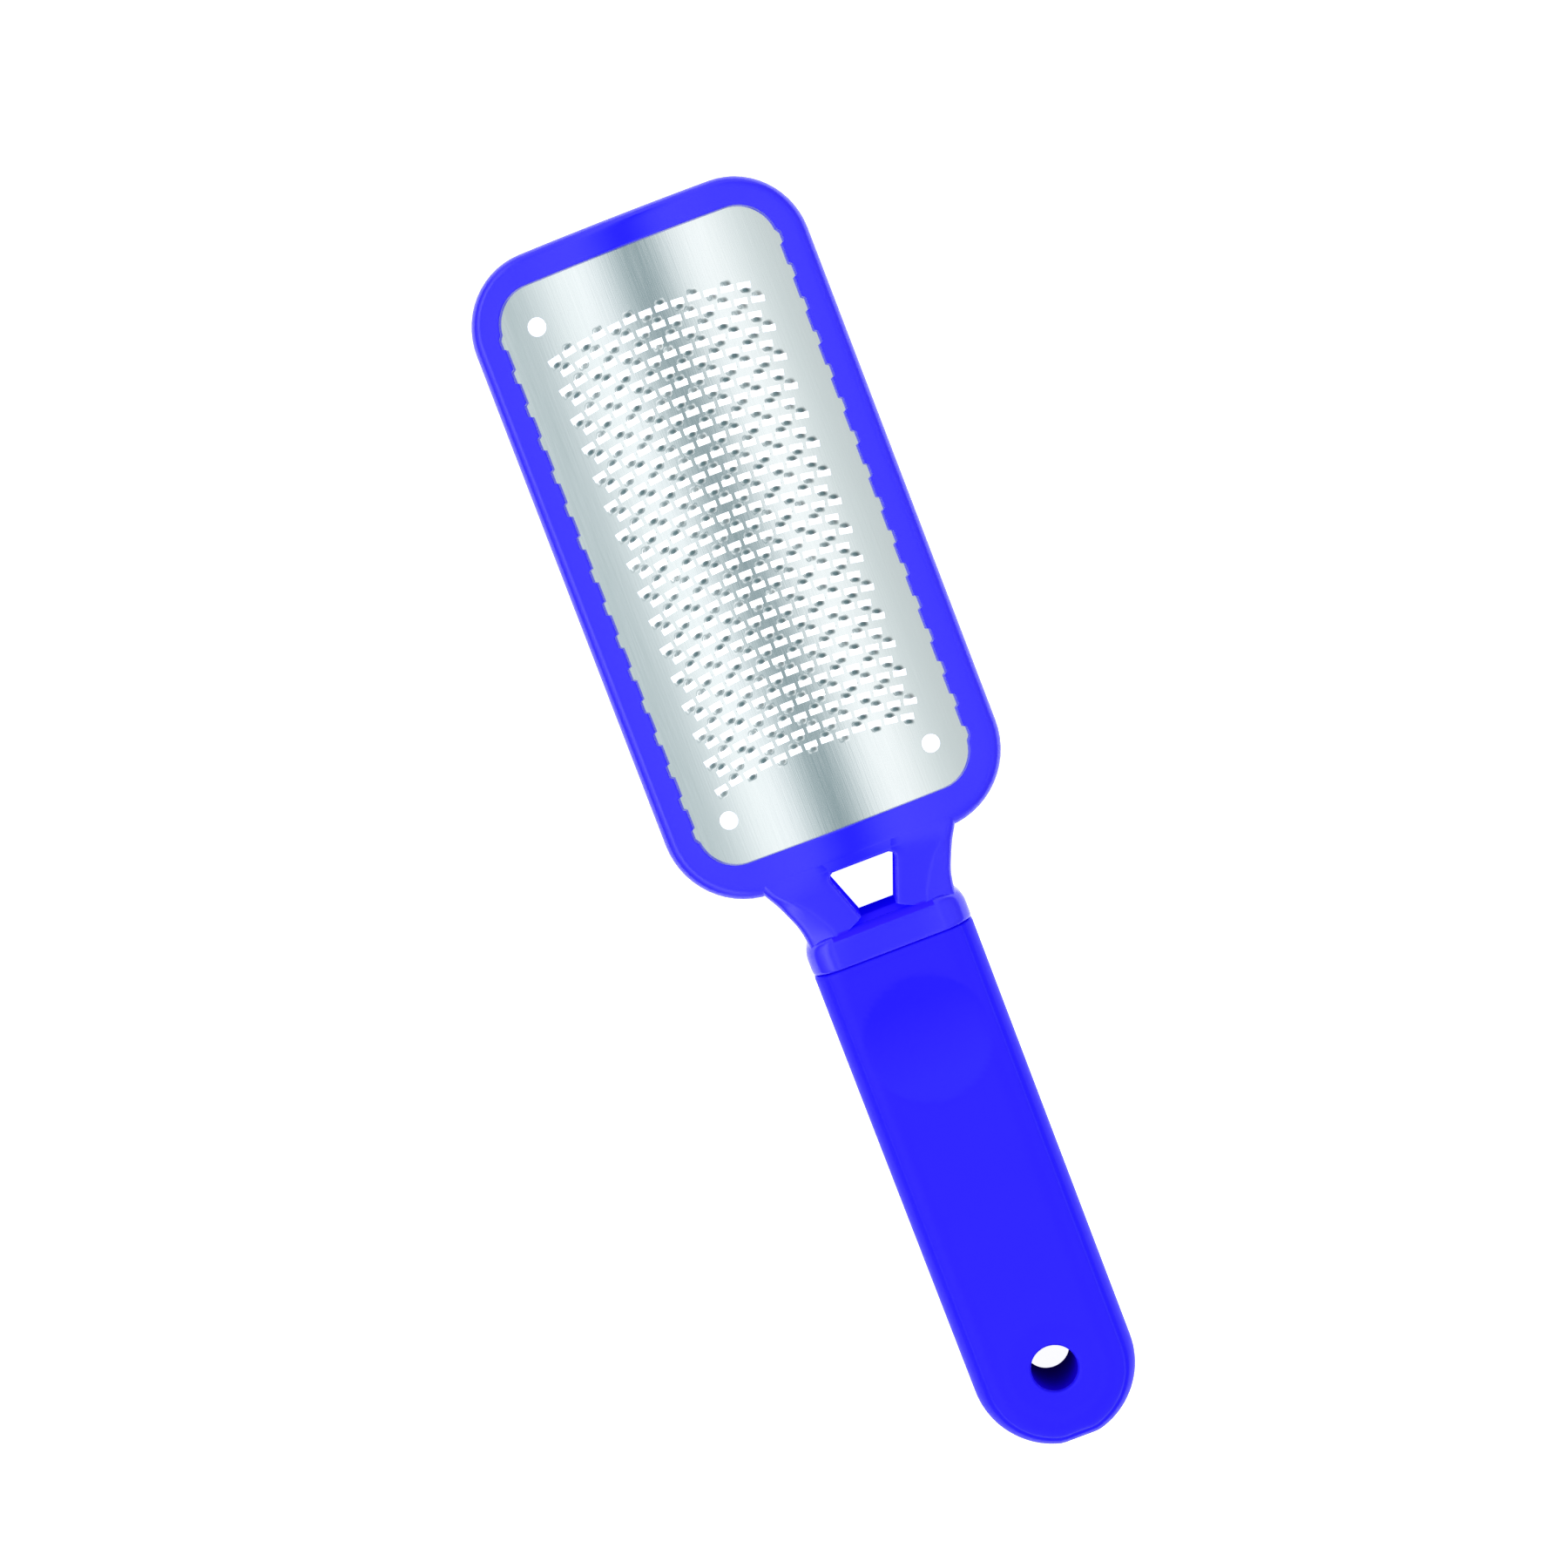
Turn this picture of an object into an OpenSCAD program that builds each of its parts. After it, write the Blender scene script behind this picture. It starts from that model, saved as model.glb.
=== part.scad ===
// Foot file: an arched steel rasp blade held in the head of a moulded frame,
// with a soft grip moulded over the frame's tang.
// X is across, Y runs from the grip to the head, Z is up out of the filing face.
// The origin is on the resting plane, under the middle of the whole length and width.

/* [Head] */
// Width of the head at its neck end
head_w = 70.4; // [68:0.1:78]
// Width of the head at its far end
far_w = 68.9; // [67:0.1:76]
// Length of the head from its far end to the neck
head_len = 133.8; // [126:0.1:150]
// Width of the window that shows the blade
window_w = 57.1; // [52:0.1:58]
// Visible width of the frame at the far end
far_band = 6; // [5:0.1:8]
// Visible width of the frame at the neck end
near_band = 7.6; // [6:0.1:9]
// Outer corner radius at the far end
far_r = 14.9; // [13:0.1:18]
// Outer corner radius at the neck end
near_r = 16.2; // [13:0.1:18]
// Corner radius of the window
window_r = 7.8; // [6:0.1:10]
// Thickness of the plastic lip over the blade's edge
lip_t = 1.1; // [0.8:0.1:1.6]
// Height of the frame's crown over the lip
crown_rise = 0.9; // [0.4:0.1:1.4]
// Depth of the rounding on the frame's outer edge
shoulder_drop = 2.6; // [2:0.1:3.6]
// Rounding of the frame's back edges
back_r = 1.2; // [0.6:0.1:2]

/* [Lip notches] */
// Number of notches along each long side of the window
notch_count = 16; // [10:1:17]
// Distance between notches
notch_pitch = 6.87; // [6.4:0.01:6.9]
// Length of a notch at the window's edge
notch_len = 2.9; // [2:0.1:3.4]
// Depth of a notch into the lip
notch_depth = 0.65; // [0.4:0.05:1]
// Length of each sloped end of a notch
notch_slope = 0.35; // [0.1:0.05:0.6]

/* [Blade] */
// Thickness of the steel sheet
blade_t = 0.5; // [0.4:0.05:0.7]
// Radius of the arch across the blade
arch_r = 175; // [150:1:240]
// Height of the blade's face over the back at the window's long edges
blade_edge_z = 7.4; // [6.6:0.1:8.4]
// Width of the blade's border that the frame holds
tuck = 1.75; // [1.2:0.05:2.2]
// Clearance between the blade and its groove
groove_gap = 0.05; // [0.03:0.01:0.1]
// Diameter of the three tooling holes
tool_hole_d = 3.7; // [3:0.1:4.4]
// Tooling holes' distance from the window's long edges
tool_hole_side = 7.2; // [6:0.1:8]
// Far tooling hole's distance from the window's far end
tool_hole_far = 8.1; // [7:0.1:9]
// Two near tooling holes' distance from the window's near end
tool_hole_near = 9.2; // [8:0.1:10]

/* [Teeth] */
// Number of rows of teeth along the blade
rows = 31; // [21:1:32]
// Number of teeth in a row
cols = 13; // [9:1:13]
// Distance between rows
row_pitch = 2.98; // [2.9:0.01:3.05]
// Distance between teeth in a row
col_pitch = 3.28; // [3.2:0.01:3.4]
// Length of a slot along its row
slot_len = 2.56; // [2.3:0.02:2.9]
// Width of a slot across its row
slot_w = 1.25; // [1.1:0.05:1.55]
// Radius of the arcs that the rows follow
row_bow_r = 103; // [90:1:200]
// Distance of the pattern's middle from the window's middle, toward the far end
pattern_shift = 2.1; // [0:0.05:2.4]
// Length of a raised tooth along its slot
tooth_len = 1.4; // [1:0.05:1.6]
// Distance that a tooth's ramp runs back from its slot
tooth_run = 0.7; // [0.4:0.05:0.9]
// Height of a tooth's edge over the blade's face
tooth_rise = 0.35; // [0.2:0.05:0.5]

/* [Neck] */
// Length of the neck and collar together
neck_len = 18.2; // [17.2:0.1:22]
// Half width of the two spokes where they leave the head
spoke_root_w = 20.2; // [18.5:0.1:21]
// Half width of the spokes at their waist
spoke_waist_w = 15.5; // [14.5:0.1:16]
// Half width of the collar
collar_w = 16.75; // [16.7:0.05:17.1]
// Height of the spokes where they leave the head
spoke_z = 11.1; // [9.8:0.1:11.4]
// Height of the spokes' back over the resting plane where they leave the head
spoke_back_z = 0.7; // [0.4:0.1:1.2]
// Width of the gap between the spokes at the head
gap_wide = 14.6; // [12:0.1:16]
// Width of the gap between the spokes at the collar
gap_narrow = 7.3; // [6:0.1:9]
// Length of the gap along the neck
gap_len = 10; // [8.6:0.1:10.2]
// Depth of the sloped shelf at the collar's end of the gap
shelf_drop = 4.2; // [3:0.1:4.5]

/* [Grip] */
// Length of the soft grip
grip_len = 108; // [100:0.1:118]
// Half width of the grip
grip_w = 16.7; // [16:0.1:16.7]
// Thickness of the grip
grip_t = 15; // [13.5:0.1:16]
// Width of the rounding along each side of the grip
grip_round_w = 6; // [4.5:0.1:7]
// Height of the rounding along each side of the grip
grip_round_h = 5.4; // [4:0.1:6]
// Distance of the rim line from the grip's side
rim_inset = 2.4; // [2:0.1:3]
// Radius of the rim line's round groove
rim_line_r = 0.35; // [0.2:0.05:0.5]
// Diameter of the thumb dish
dish_d = 25.5; // [20:0.1:26]
// Depth of the thumb dish
dish_depth = 0.9; // [0.5:0.1:1.4]
// Distance of the thumb dish's middle from the seam
dish_y = 18.7; // [17:0.1:22]
// Diameter of the hanging hole
hang_d = 9.4; // [8:0.1:10.4]
// Distance of the hanging hole's middle from the grip's end
hang_y = 17.2; // [16:0.1:18]
// Diameter of the soft dip around the hanging hole
dip_d = 17; // [15:0.1:18]
// Depth of the soft dip around the hanging hole
dip_depth = 0.9; // [0.6:0.1:1.2]
// Radius of the hanging hole's rounded mouth
mouth_r = 1.2; // [0.8:0.1:1.6]

/* [Tang] */
// Length of the frame's tang inside the grip
tang_len = 76; // [68:0.1:78]
// Width of the tang
tang_w = 18; // [16:0.1:20]
// Thickness of the tang
tang_t = 6; // [5:0.1:7]
// Number of round windows along the tang
tang_windows = 4; // [2:1:4]
// Diameter of a tang window
tang_window_d = 9; // [7:0.1:10]
// Clearance between the tang and the grip
tang_gap = 0.05; // [0.03:0.01:0.1]

/* [Hidden] */
$fn = 64;

// Every cut runs past the faces that it leaves through by this much
overrun = 1;

// Lengthwise places, from the middle of the whole length
total_len = head_len + neck_len + grip_len;
far_y = total_len / 2;
near_y = far_y - head_len;
seam_y = near_y - neck_len;
end_y = seam_y - grip_len;

// The window that shows the blade
window_far_y = far_y - far_band;
window_near_y = near_y + near_band;
window_y = (window_far_y + window_near_y) / 2;
window_len = window_far_y - window_near_y;

// Height of the arch's centre line, far below the tool
arch_z = blade_edge_z - sqrt(pow(arch_r, 2) - pow(window_w / 2, 2));

// The blade's arch is bent in this many narrow flats
arch_steps = 26;

// Steps in each rounded corner, and between the corners of the end bars
corner_steps = 7;
bar_steps = 8;
crown_steps = 3;
shoulder_steps = 5;
// Place of the crown across the frame's band, from the window outward
crown_share = 0.66;

// Height of the blade's face at x
function face_z(x) = arch_z + sqrt(pow(arch_r, 2) - pow(x, 2));

function unit(v) = v / norm(v);

function between(a, b, share) = a + (b - a) * share;

// Four corners, clockwise from the far left one, for a near and a far width
function corners(near_w, far_w, y0, y1) =
  [[-far_w / 2, y1], [far_w / 2, y1], [near_w / 2, y0], [-near_w / 2, y0]];

// One rounded corner: an arc tangent to both sides of corner i of the outline
function corner_arc(pts, i, r, steps) =
  let (
    n = len(pts),
    a = unit(pts[(i + n - 1) % n] - pts[i]),
    b = unit(pts[(i + 1) % n] - pts[i]),
    half = acos(a * b) / 2,
    reach = r / tan(half),
    centre = pts[i] + unit(a + b) * r / sin(half),
    from = pts[i] + a * reach - centre,
    to = pts[i] + b * reach - centre,
    sweep = 180 - 2 * half
  )
  [
    for (k = [0 : steps])
      centre + (from * sin(sweep * (1 - k / steps)) + to * sin(sweep * k / steps)) / sin(sweep)
  ];

// The outline with every corner rounded
function rounded(pts, radii, steps) =
  [for (i = [0 : len(pts) - 1]) each corner_arc(pts, i, radii[i], steps)];

// The same, with the end bars divided so that they can follow the arch
function rounded_path(pts, radii, steps, bars) = [
  for (i = [0 : len(pts) - 1])
    let (
      j = (i + 1) % len(pts),
      arc = corner_arc(pts, i, radii[i], steps),
      next = corner_arc(pts, j, radii[j], steps)
    )
    each concat(arc, i % 2 == 1 ? [] : [for (k = [1 : bars - 1]) between(arc[steps], next[0], k / bars)])
];

// A closed skin over rings with the same number of points; a loop joins its last ring to its first
module skin(rings, loop = false) {
  m = len(rings[0]);
  n = len(rings);
  sides = [
    for (i = [0 : (loop ? n - 1 : n - 2)], j = [0 : m - 1])
      let (a = i * m + j, b = i * m + (j + 1) % m, c = (i + 1) % n * m + (j + 1) % m, d = (i + 1) % n * m + j)
      each [[a, b, c], [a, c, d]]
  ];
  caps = loop ? [] : [[for (j = [m - 1 : -1 : 0]) j], [for (j = [0 : m - 1]) (n - 1) * m + j]];
  polyhedron(points = [for (ring = rings) each ring], faces = concat(sides, caps), convexity = 8);
}

// Arched sheet between two radii of the arch, as long as the head
module arched_sheet(r0, r1) {
  half = asin(head_w / 2 / arch_r);
  turns = [for (k = [0 : arch_steps]) half * (2 * k / arch_steps - 1)];
  top = [for (k = [0 : arch_steps]) [r1 * sin(turns[k]), r1 * cos(turns[k])]];
  bottom = [for (k = [arch_steps : -1 : 0]) [r0 * sin(turns[k]), r0 * cos(turns[k])]];
  translate([0, far_y + overrun, arch_z])
    rotate([90, 0, 0])
      linear_extrude(head_len + 2 * overrun)
        polygon(concat(top, bottom));
}

// The blade's outline in plan, grown by a margin
module blade_outline(margin) {
  grown = tuck + margin;
  radii = [for (i = [0 : 3]) window_r + grown];
  outline = corners(window_w + 2 * grown, window_w + 2 * grown, window_near_y - grown, window_far_y + grown);
  polygon(rounded(outline, radii, corner_steps));
}

// Middle of the slot in row r and column c: alternate rows step half a pitch,
// and every row bows toward the far end
function slot_x(r, c) = (c - (cols - 1) / 2) * col_pitch + (r % 2 == 0 ? -1 : 1) * col_pitch / 4;
function row_y(r) = window_y + pattern_shift + ((rows - 1) / 2 - r) * row_pitch;
function slot_y(r, c) = row_y(r) - pow(slot_x(r, c), 2) / (2 * row_bow_r);
function slot_turn(r, c) = -atan(slot_x(r, c) / row_bow_r);

// The sheet's plan: its outline with every slot and the three tooling holes cut through
module blade_plan() {
  difference() {
    blade_outline(0);
    for (r = [0 : rows - 1], c = [0 : cols - 1])
      translate([slot_x(r, c), slot_y(r, c)])
        rotate([0, 0, slot_turn(r, c)])
          square([slot_len, slot_w], center = true);
    for (x = [-1, 1])
      translate([x * (window_w / 2 - tool_hole_side), window_near_y + tool_hole_near])
        circle(d = tool_hole_d);
    translate([tool_hole_side - window_w / 2, window_far_y - tool_hole_far])
      circle(d = tool_hole_d);
  }
}

// One raised tooth for each slot, lying along the sheet; neighbours along a row face opposite ways
module teeth() {
  for (r = [0 : rows - 1], c = [0 : cols - 1])
    translate([slot_x(r, c), slot_y(r, c), face_z(slot_x(r, c))])
      rotate([0, asin(slot_x(r, c) / arch_r), 0])
        rotate([0, 0, slot_turn(r, c) + ((r + c) % 2 == 0 ? 180 : 0)])
          tooth();
}

// A ramp that rises toward the slot at y = 0, with its root sunk in the sheet;
// the slot's cut leaves its upright edge
module tooth() {
  root = blade_t / 2;
  slot_side = slot_w / 2;
  translate([-tooth_len / 2, 0, 0])
    rotate([90, 0, 90])
      linear_extrude(tooth_len)
        polygon([
          [slot_side - root, -root],
          [slot_side + tooth_run + root, -root],
          [slot_side + tooth_run, 0],
          [slot_side, tooth_rise],
          [slot_side - root, tooth_rise]
        ]);
}

module blade() {
  color("silver")
    intersection() {
      union() {
        arched_sheet(arch_r - blade_t, arch_r);
        teeth();
      }
      linear_extrude(grip_t)
        blade_plan();
    }
}

// One cross-section of the head's ring, from the lip's top edge over the crown and round the back
function ring_section(inner, outer) =
  let (
    band = norm(outer - inner),
    at = function(share, up) [each between(inner, outer, share), face_z(between(inner, outer, share).x) + up],
    flat = function(share, z) [each between(inner, outer, share), z],
    crown = lip_t + crown_rise
  )
  concat(
    [
      for (k = [0 : crown_steps])
        at(crown_share * k / crown_steps, lip_t + crown_rise * sin(90 * k / crown_steps))
    ],
    [
      for (k = [1 : shoulder_steps])
        let (a = 90 * k / shoulder_steps)
        at(between(crown_share, 1, sin(a)), crown - shoulder_drop * (1 - cos(a)))
    ],
    [flat(1, back_r), flat(1 - back_r / band, 0), flat(back_r / band / 2, 0), flat(0, back_r / 2)]
  );

module ring() {
  inner = rounded_path(
    corners(window_w, window_w, window_near_y, window_far_y),
    [window_r, window_r, window_r, window_r],
    corner_steps, bar_steps
  );
  outer = rounded_path(
    corners(head_w, far_w, near_y, far_y),
    [far_r, far_r, near_r, near_r],
    corner_steps, bar_steps
  );
  skin([for (i = [0 : len(inner) - 1]) ring_section(inner[i], outer[i])], loop = true);
}

// Stations of the neck: place along it, half width, half width of the flat top, top height and back height
spoke_places_shares = [-0.16, 0, 0.14, 0.29, 0.44, 0.57];
spoke_widths_shares = [1.1, 1, 0.65, 0.36, 0.13, 0];
spoke_flats_shares = [0.94, 0.94, 0.88, 0.79, 0.73, 0.65];
spoke_tops_shares = [0, 0, 0.2, 0.42, 0.64, 0.83];
collar_places_shares = [0.61, 0.69, 0.76, 0.9, 0.95, 1];
collar_widths_shares = [0.7, 0.96, 1, 1, 0.97, 0.94];
collar_flats_shares = [0.64, 0.65, 0.66, 0.66, 0.66, 0.66];
collar_tops_shares = [0.9, 0.98, 1, 1, 0.99, 0.96];
neck_round_steps = 5;

function neck_ring(place, half_w, flat_w, top, back) =
  let (
    y = near_y - neck_len * place,
    mid = (top + back) / 2,
    right = concat(
      [
        for (k = [0 : neck_round_steps])
          let (a = 90 * k / neck_round_steps)
          [between(flat_w, half_w, sin(a)), y, between(mid, top, cos(a))]
      ],
      [
        for (k = [1 : neck_round_steps])
          let (a = 90 * k / neck_round_steps)
          [between(flat_w, half_w, cos(a)), y, between(mid, back, sin(a))]
      ]
    ),
    n = len(right)
  )
  concat(right, [for (k = [n - 1 : -1 : 0]) [-right[k].x, right[k].y, right[k].z]]);

module neck() {
  spokes = [
    for (i = [0 : len(spoke_places_shares) - 1])
      let (w = between(spoke_waist_w, spoke_root_w, spoke_widths_shares[i]))
      neck_ring(
        spoke_places_shares[i], w, w * spoke_flats_shares[i],
        between(spoke_z, grip_t, spoke_tops_shares[i]), spoke_back_z * (1 - spoke_tops_shares[i])
      )
  ];
  collar = [
    for (i = [0 : len(collar_places_shares) - 1])
      let (w = between(spoke_waist_w, collar_w, collar_widths_shares[i]))
      neck_ring(
        collar_places_shares[i], w, w * collar_flats_shares[i],
        between(spoke_z, grip_t, collar_tops_shares[i]), grip_t * (1 - collar_tops_shares[i]) / 4
      )
  ];
  difference() {
    skin(concat(spokes, collar));
    neck_gap();
    shelf();
  }
}

// The gap between the spokes: its far side is the head itself
module neck_gap() {
  flare = (gap_wide - gap_narrow) / 2 / gap_len;
  reach = near_band / 2;
  wide = gap_wide / 2 + flare * reach;
  outline = [
    [-wide, near_y + reach],
    [-gap_narrow / 2, near_y - gap_len],
    [gap_narrow / 2, near_y - gap_len],
    [wide, near_y + reach]
  ];
  translate([0, 0, -overrun])
    linear_extrude(grip_t + 2 * overrun)
      polygon(outline);
}

// The sloped shelf that leads from the collar's ridge down into the gap
module shelf() {
  ridge_y = near_y - neck_len * collar_places_shares[1];
  low_y = near_y - gap_len + overrun;
  run = low_y - ridge_y;
  fall = shelf_drop * run / (run - overrun);
  ridge_w = collar_w * collar_flats_shares[0];
  low_w = gap_narrow / 2 + overrun;
  lid = grip_t + overrun;
  lift = overrun / 4;
  skin([
    [[-ridge_w, ridge_y, lid], [ridge_w, ridge_y, lid], [low_w, low_y, lid], [-low_w, low_y, lid]],
    [
      [-ridge_w, ridge_y, grip_t - lift], [ridge_w, ridge_y, grip_t - lift],
      [low_w, low_y, grip_t - fall], [-low_w, low_y, grip_t - fall]
    ]
  ]);
}

// One notch of the window's lip, open toward the window
module lip_notch() {
  translate([0, 0, blade_edge_z - blade_t / 2])
    linear_extrude(grip_t)
      polygon([
        [-overrun, -notch_len / 2],
        [0, -notch_len / 2],
        [notch_depth, -notch_len / 2 + notch_slope],
        [notch_depth, notch_len / 2 - notch_slope],
        [0, notch_len / 2],
        [-overrun, notch_len / 2]
      ]);
}

// The tang's plan, grown by a margin: a bar with a rounded end
module tang_plan(margin) {
  tip_r = tang_w / 2 + margin;
  translate([-tip_r, seam_y - tang_len + tang_w / 2])
    square([2 * tip_r, tang_len - tang_w / 2 + overrun]);
  translate([0, seam_y - tang_len + tang_w / 2])
    circle(tip_r);
}

// Places of the tang's windows, evenly along its straight part
function tang_window_y(i) = seam_y - tang_len + tang_w / 2 + i * (tang_len - tang_w / 2) / tang_windows;

module frame() {
  color("mediumblue")
    union() {
      difference() {
        union() {
          ring();
          neck();
        }
        intersection() {
          arched_sheet(arch_r - blade_t - groove_gap, arch_r + groove_gap);
          linear_extrude(2 * grip_t)
            blade_outline(groove_gap);
        }
        for (i = [0 : notch_count - 1], side = [0, 1])
          translate([0, window_y + (i - (notch_count - 1) / 2) * notch_pitch, 0])
            mirror([side, 0, 0])
              translate([window_w / 2, 0, 0])
                lip_notch();
      }
      difference() {
        translate([0, 0, (grip_t - tang_t) / 2])
          linear_extrude(tang_t)
            tang_plan(0);
        for (i = [0 : tang_windows - 1])
          translate([0, tang_window_y(i), 0])
            cylinder(h = grip_t, d = tang_window_d);
      }
    }
}

// Half of the grip's cross-section, from its middle line to its side, with the rim line's groove
module grip_half_section() {
  steps = 7;
  core = grip_w - grip_round_w;
  arc = [
    for (k = [0 : steps])
      let (a = 90 * k / steps)
      [core + grip_round_w * sin(a), grip_t - grip_round_h * (1 - cos(a))]
  ];
  lower = [for (k = [steps : -1 : 0]) [arc[k].x, grip_t - arc[k].y]];
  line_x = grip_w - rim_inset;
  line_z = grip_t - grip_round_h * (1 - sqrt(1 - pow((line_x - core) / grip_round_w, 2)));
  difference() {
    polygon(concat([[0, grip_t]], arc, lower, [[0, 0]]));
    translate([line_x, line_z])
      circle(rim_line_r);
  }
}

module grip() {
  round_y = end_y + grip_w;
  color("blue")
    difference() {
      union() {
        for (side = [0, 1])
          mirror([side, 0, 0])
            translate([0, seam_y, 0])
              rotate([90, 0, 0])
                linear_extrude(seam_y - round_y)
                  grip_half_section();
        translate([0, round_y, 0])
          rotate([0, 0, 180])
            rotate_extrude(angle = 180)
              grip_half_section();
      }
      tang_pocket();
      thumb_dish();
      hanging_hole();
    }
}

// The space that the tang fills; the grip's own rubber runs on through the tang's windows
module tang_pocket() {
  difference() {
    translate([0, 0, (grip_t - tang_t) / 2 - tang_gap])
      linear_extrude(tang_t + 2 * tang_gap)
        tang_plan(tang_gap);
    for (i = [0 : tang_windows - 1])
      translate([0, tang_window_y(i), 0])
        cylinder(h = grip_t, d = tang_window_d - 2 * tang_gap);
  }
}

// Radius of the ball that leaves a dip of this width and depth in a flat face
function dip_ball_r(width, depth) = (pow(width / 2, 2) + pow(depth, 2)) / (2 * depth);

module thumb_dish() {
  ball_r = dip_ball_r(dish_d, dish_depth);
  translate([0, seam_y - dish_y, grip_t - dish_depth + ball_r])
    sphere(ball_r);
}

module hanging_hole() {
  ball_r = dip_ball_r(dip_d, dip_depth);
  bore_r = hang_d / 2;
  translate([0, end_y + hang_y, 0]) {
    translate([0, 0, -overrun])
      cylinder(h = grip_t + 2 * overrun, r = bore_r);
    for (side = [0, 1])
      translate([0, 0, side * grip_t])
        mirror([0, 0, side]) {
          translate([0, 0, dip_depth - ball_r])
            sphere(ball_r);
          rotate_extrude()
            difference() {
              square([bore_r + mouth_r, dip_depth + mouth_r]);
              translate([bore_r + mouth_r, dip_depth + mouth_r])
                circle(mouth_r);
            }
        }
  }
}

blade();
frame();
grip();
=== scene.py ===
import bmesh
import bpy
import numpy as np
from mathutils import Matrix, Vector


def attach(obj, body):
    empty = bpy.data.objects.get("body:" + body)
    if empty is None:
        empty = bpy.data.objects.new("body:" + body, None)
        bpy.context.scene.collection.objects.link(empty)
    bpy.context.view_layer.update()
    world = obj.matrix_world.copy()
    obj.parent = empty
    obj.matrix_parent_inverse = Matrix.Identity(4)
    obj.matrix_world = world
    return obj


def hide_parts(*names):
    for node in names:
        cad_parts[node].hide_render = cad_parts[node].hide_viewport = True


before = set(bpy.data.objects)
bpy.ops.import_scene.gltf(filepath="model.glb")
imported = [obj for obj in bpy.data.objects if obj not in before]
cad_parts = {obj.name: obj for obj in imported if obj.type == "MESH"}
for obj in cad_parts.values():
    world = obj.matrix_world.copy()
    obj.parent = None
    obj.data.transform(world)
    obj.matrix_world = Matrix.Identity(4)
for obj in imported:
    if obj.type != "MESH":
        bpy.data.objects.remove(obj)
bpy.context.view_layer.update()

# Studio: the tool lies on a pale floor in a white room, between two big soft lamps. A pale tent hangs
# overhead, seen in reflections alone. It has a dark middle where the camera looks in, and bright metal
# shows it as bands.
MM = 0.001
scene = bpy.context.scene
scene.view_settings.view_transform = "Standard"


def shader(tree, kind, inputs=None, **settings):
    """One shader node: settings are its own properties, inputs are socket values by name or number."""
    made = tree.nodes.new(kind)
    for name, value in settings.items():
        setattr(made, name, value)
    for name, value in (inputs or {}).items():
        made.inputs[name].default_value = value
    return made


def seen_directly(tree):
    """1 for rays from the camera, from a mirror or through glass, and 0 for the rays that light the tool."""
    path = shader(tree, "ShaderNodeLightPath")
    first = shader(tree, "ShaderNodeMath", operation="MAXIMUM")
    both = shader(tree, "ShaderNodeMath", operation="MAXIMUM")
    tree.links.new(path.outputs["Is Camera Ray"], first.inputs[0])
    tree.links.new(path.outputs["Is Glossy Ray"], first.inputs[1])
    tree.links.new(first.outputs[0], both.inputs[0])
    tree.links.new(path.outputs["Is Transmission Ray"], both.inputs[1])
    return both.outputs[0]


def stage_plane(name, width, length, place):
    """A flat rectangle of the studio, width along X and length along Y."""
    x, y = width / 2, length / 2
    mesh = bpy.data.meshes.new(name)
    mesh.from_pydata([(-x, -y, 0), (x, -y, 0), (x, y, 0), (-x, y, 0)], [], [(0, 1, 2, 3)])
    plane = bpy.data.objects.new(name, mesh)
    scene.collection.objects.link(plane)
    plane.location = place
    return plane


# The floor lies a fifth of a millimetre low, so that no face of the tool lies in its plane
FLOOR_SIZE = 8
FLOOR_Z = -0.0002
FLOOR_GLOW = 0.93
floor = stage_plane("floor", FLOOR_SIZE, FLOOR_SIZE, (0, 0, FLOOR_Z))
floor_paint = bpy.data.materials.new("floor_paint")
floor_paint.use_nodes = True
floor_tree = floor_paint.node_tree
floor_shader = floor_tree.nodes["Principled BSDF"]
floor_shader.inputs["Base Color"].default_value = (0.82, 0.82, 0.82, 1)
floor_shader.inputs["Roughness"].default_value = 0.9
floor_shader.inputs["Specular IOR Level"].default_value = 0
floor_shader.inputs["Emission Color"].default_value = (1, 1, 1, 1)
floor_glow = shader(floor_tree, "ShaderNodeMath", {1: FLOOR_GLOW}, operation="MULTIPLY")
floor_tree.links.new(seen_directly(floor_tree), floor_glow.inputs[0])
floor_tree.links.new(floor_glow.outputs[0], floor_shader.inputs["Emission Strength"])
floor.data.materials.append(floor_paint)

# The room is plain white where the camera or a mirror sees it, and dimmer where it lights the tool
ROOM_LEVEL = 0.55
room = bpy.data.worlds.new("white_room")
room.use_nodes = True
room_tree = room.node_tree
room_light = room_tree.nodes["Background"]
room_light.inputs["Color"].default_value = (1, 1, 1, 1)
dimmed = {1: 1 - ROOM_LEVEL, 2: ROOM_LEVEL}
room_level = shader(room_tree, "ShaderNodeMath", dimmed, operation="MULTIPLY_ADD")
room_tree.links.new(seen_directly(room_tree), room_level.inputs[0])
room_tree.links.new(room_level.outputs[0], room_light.inputs["Strength"])
scene.world = room

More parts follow.
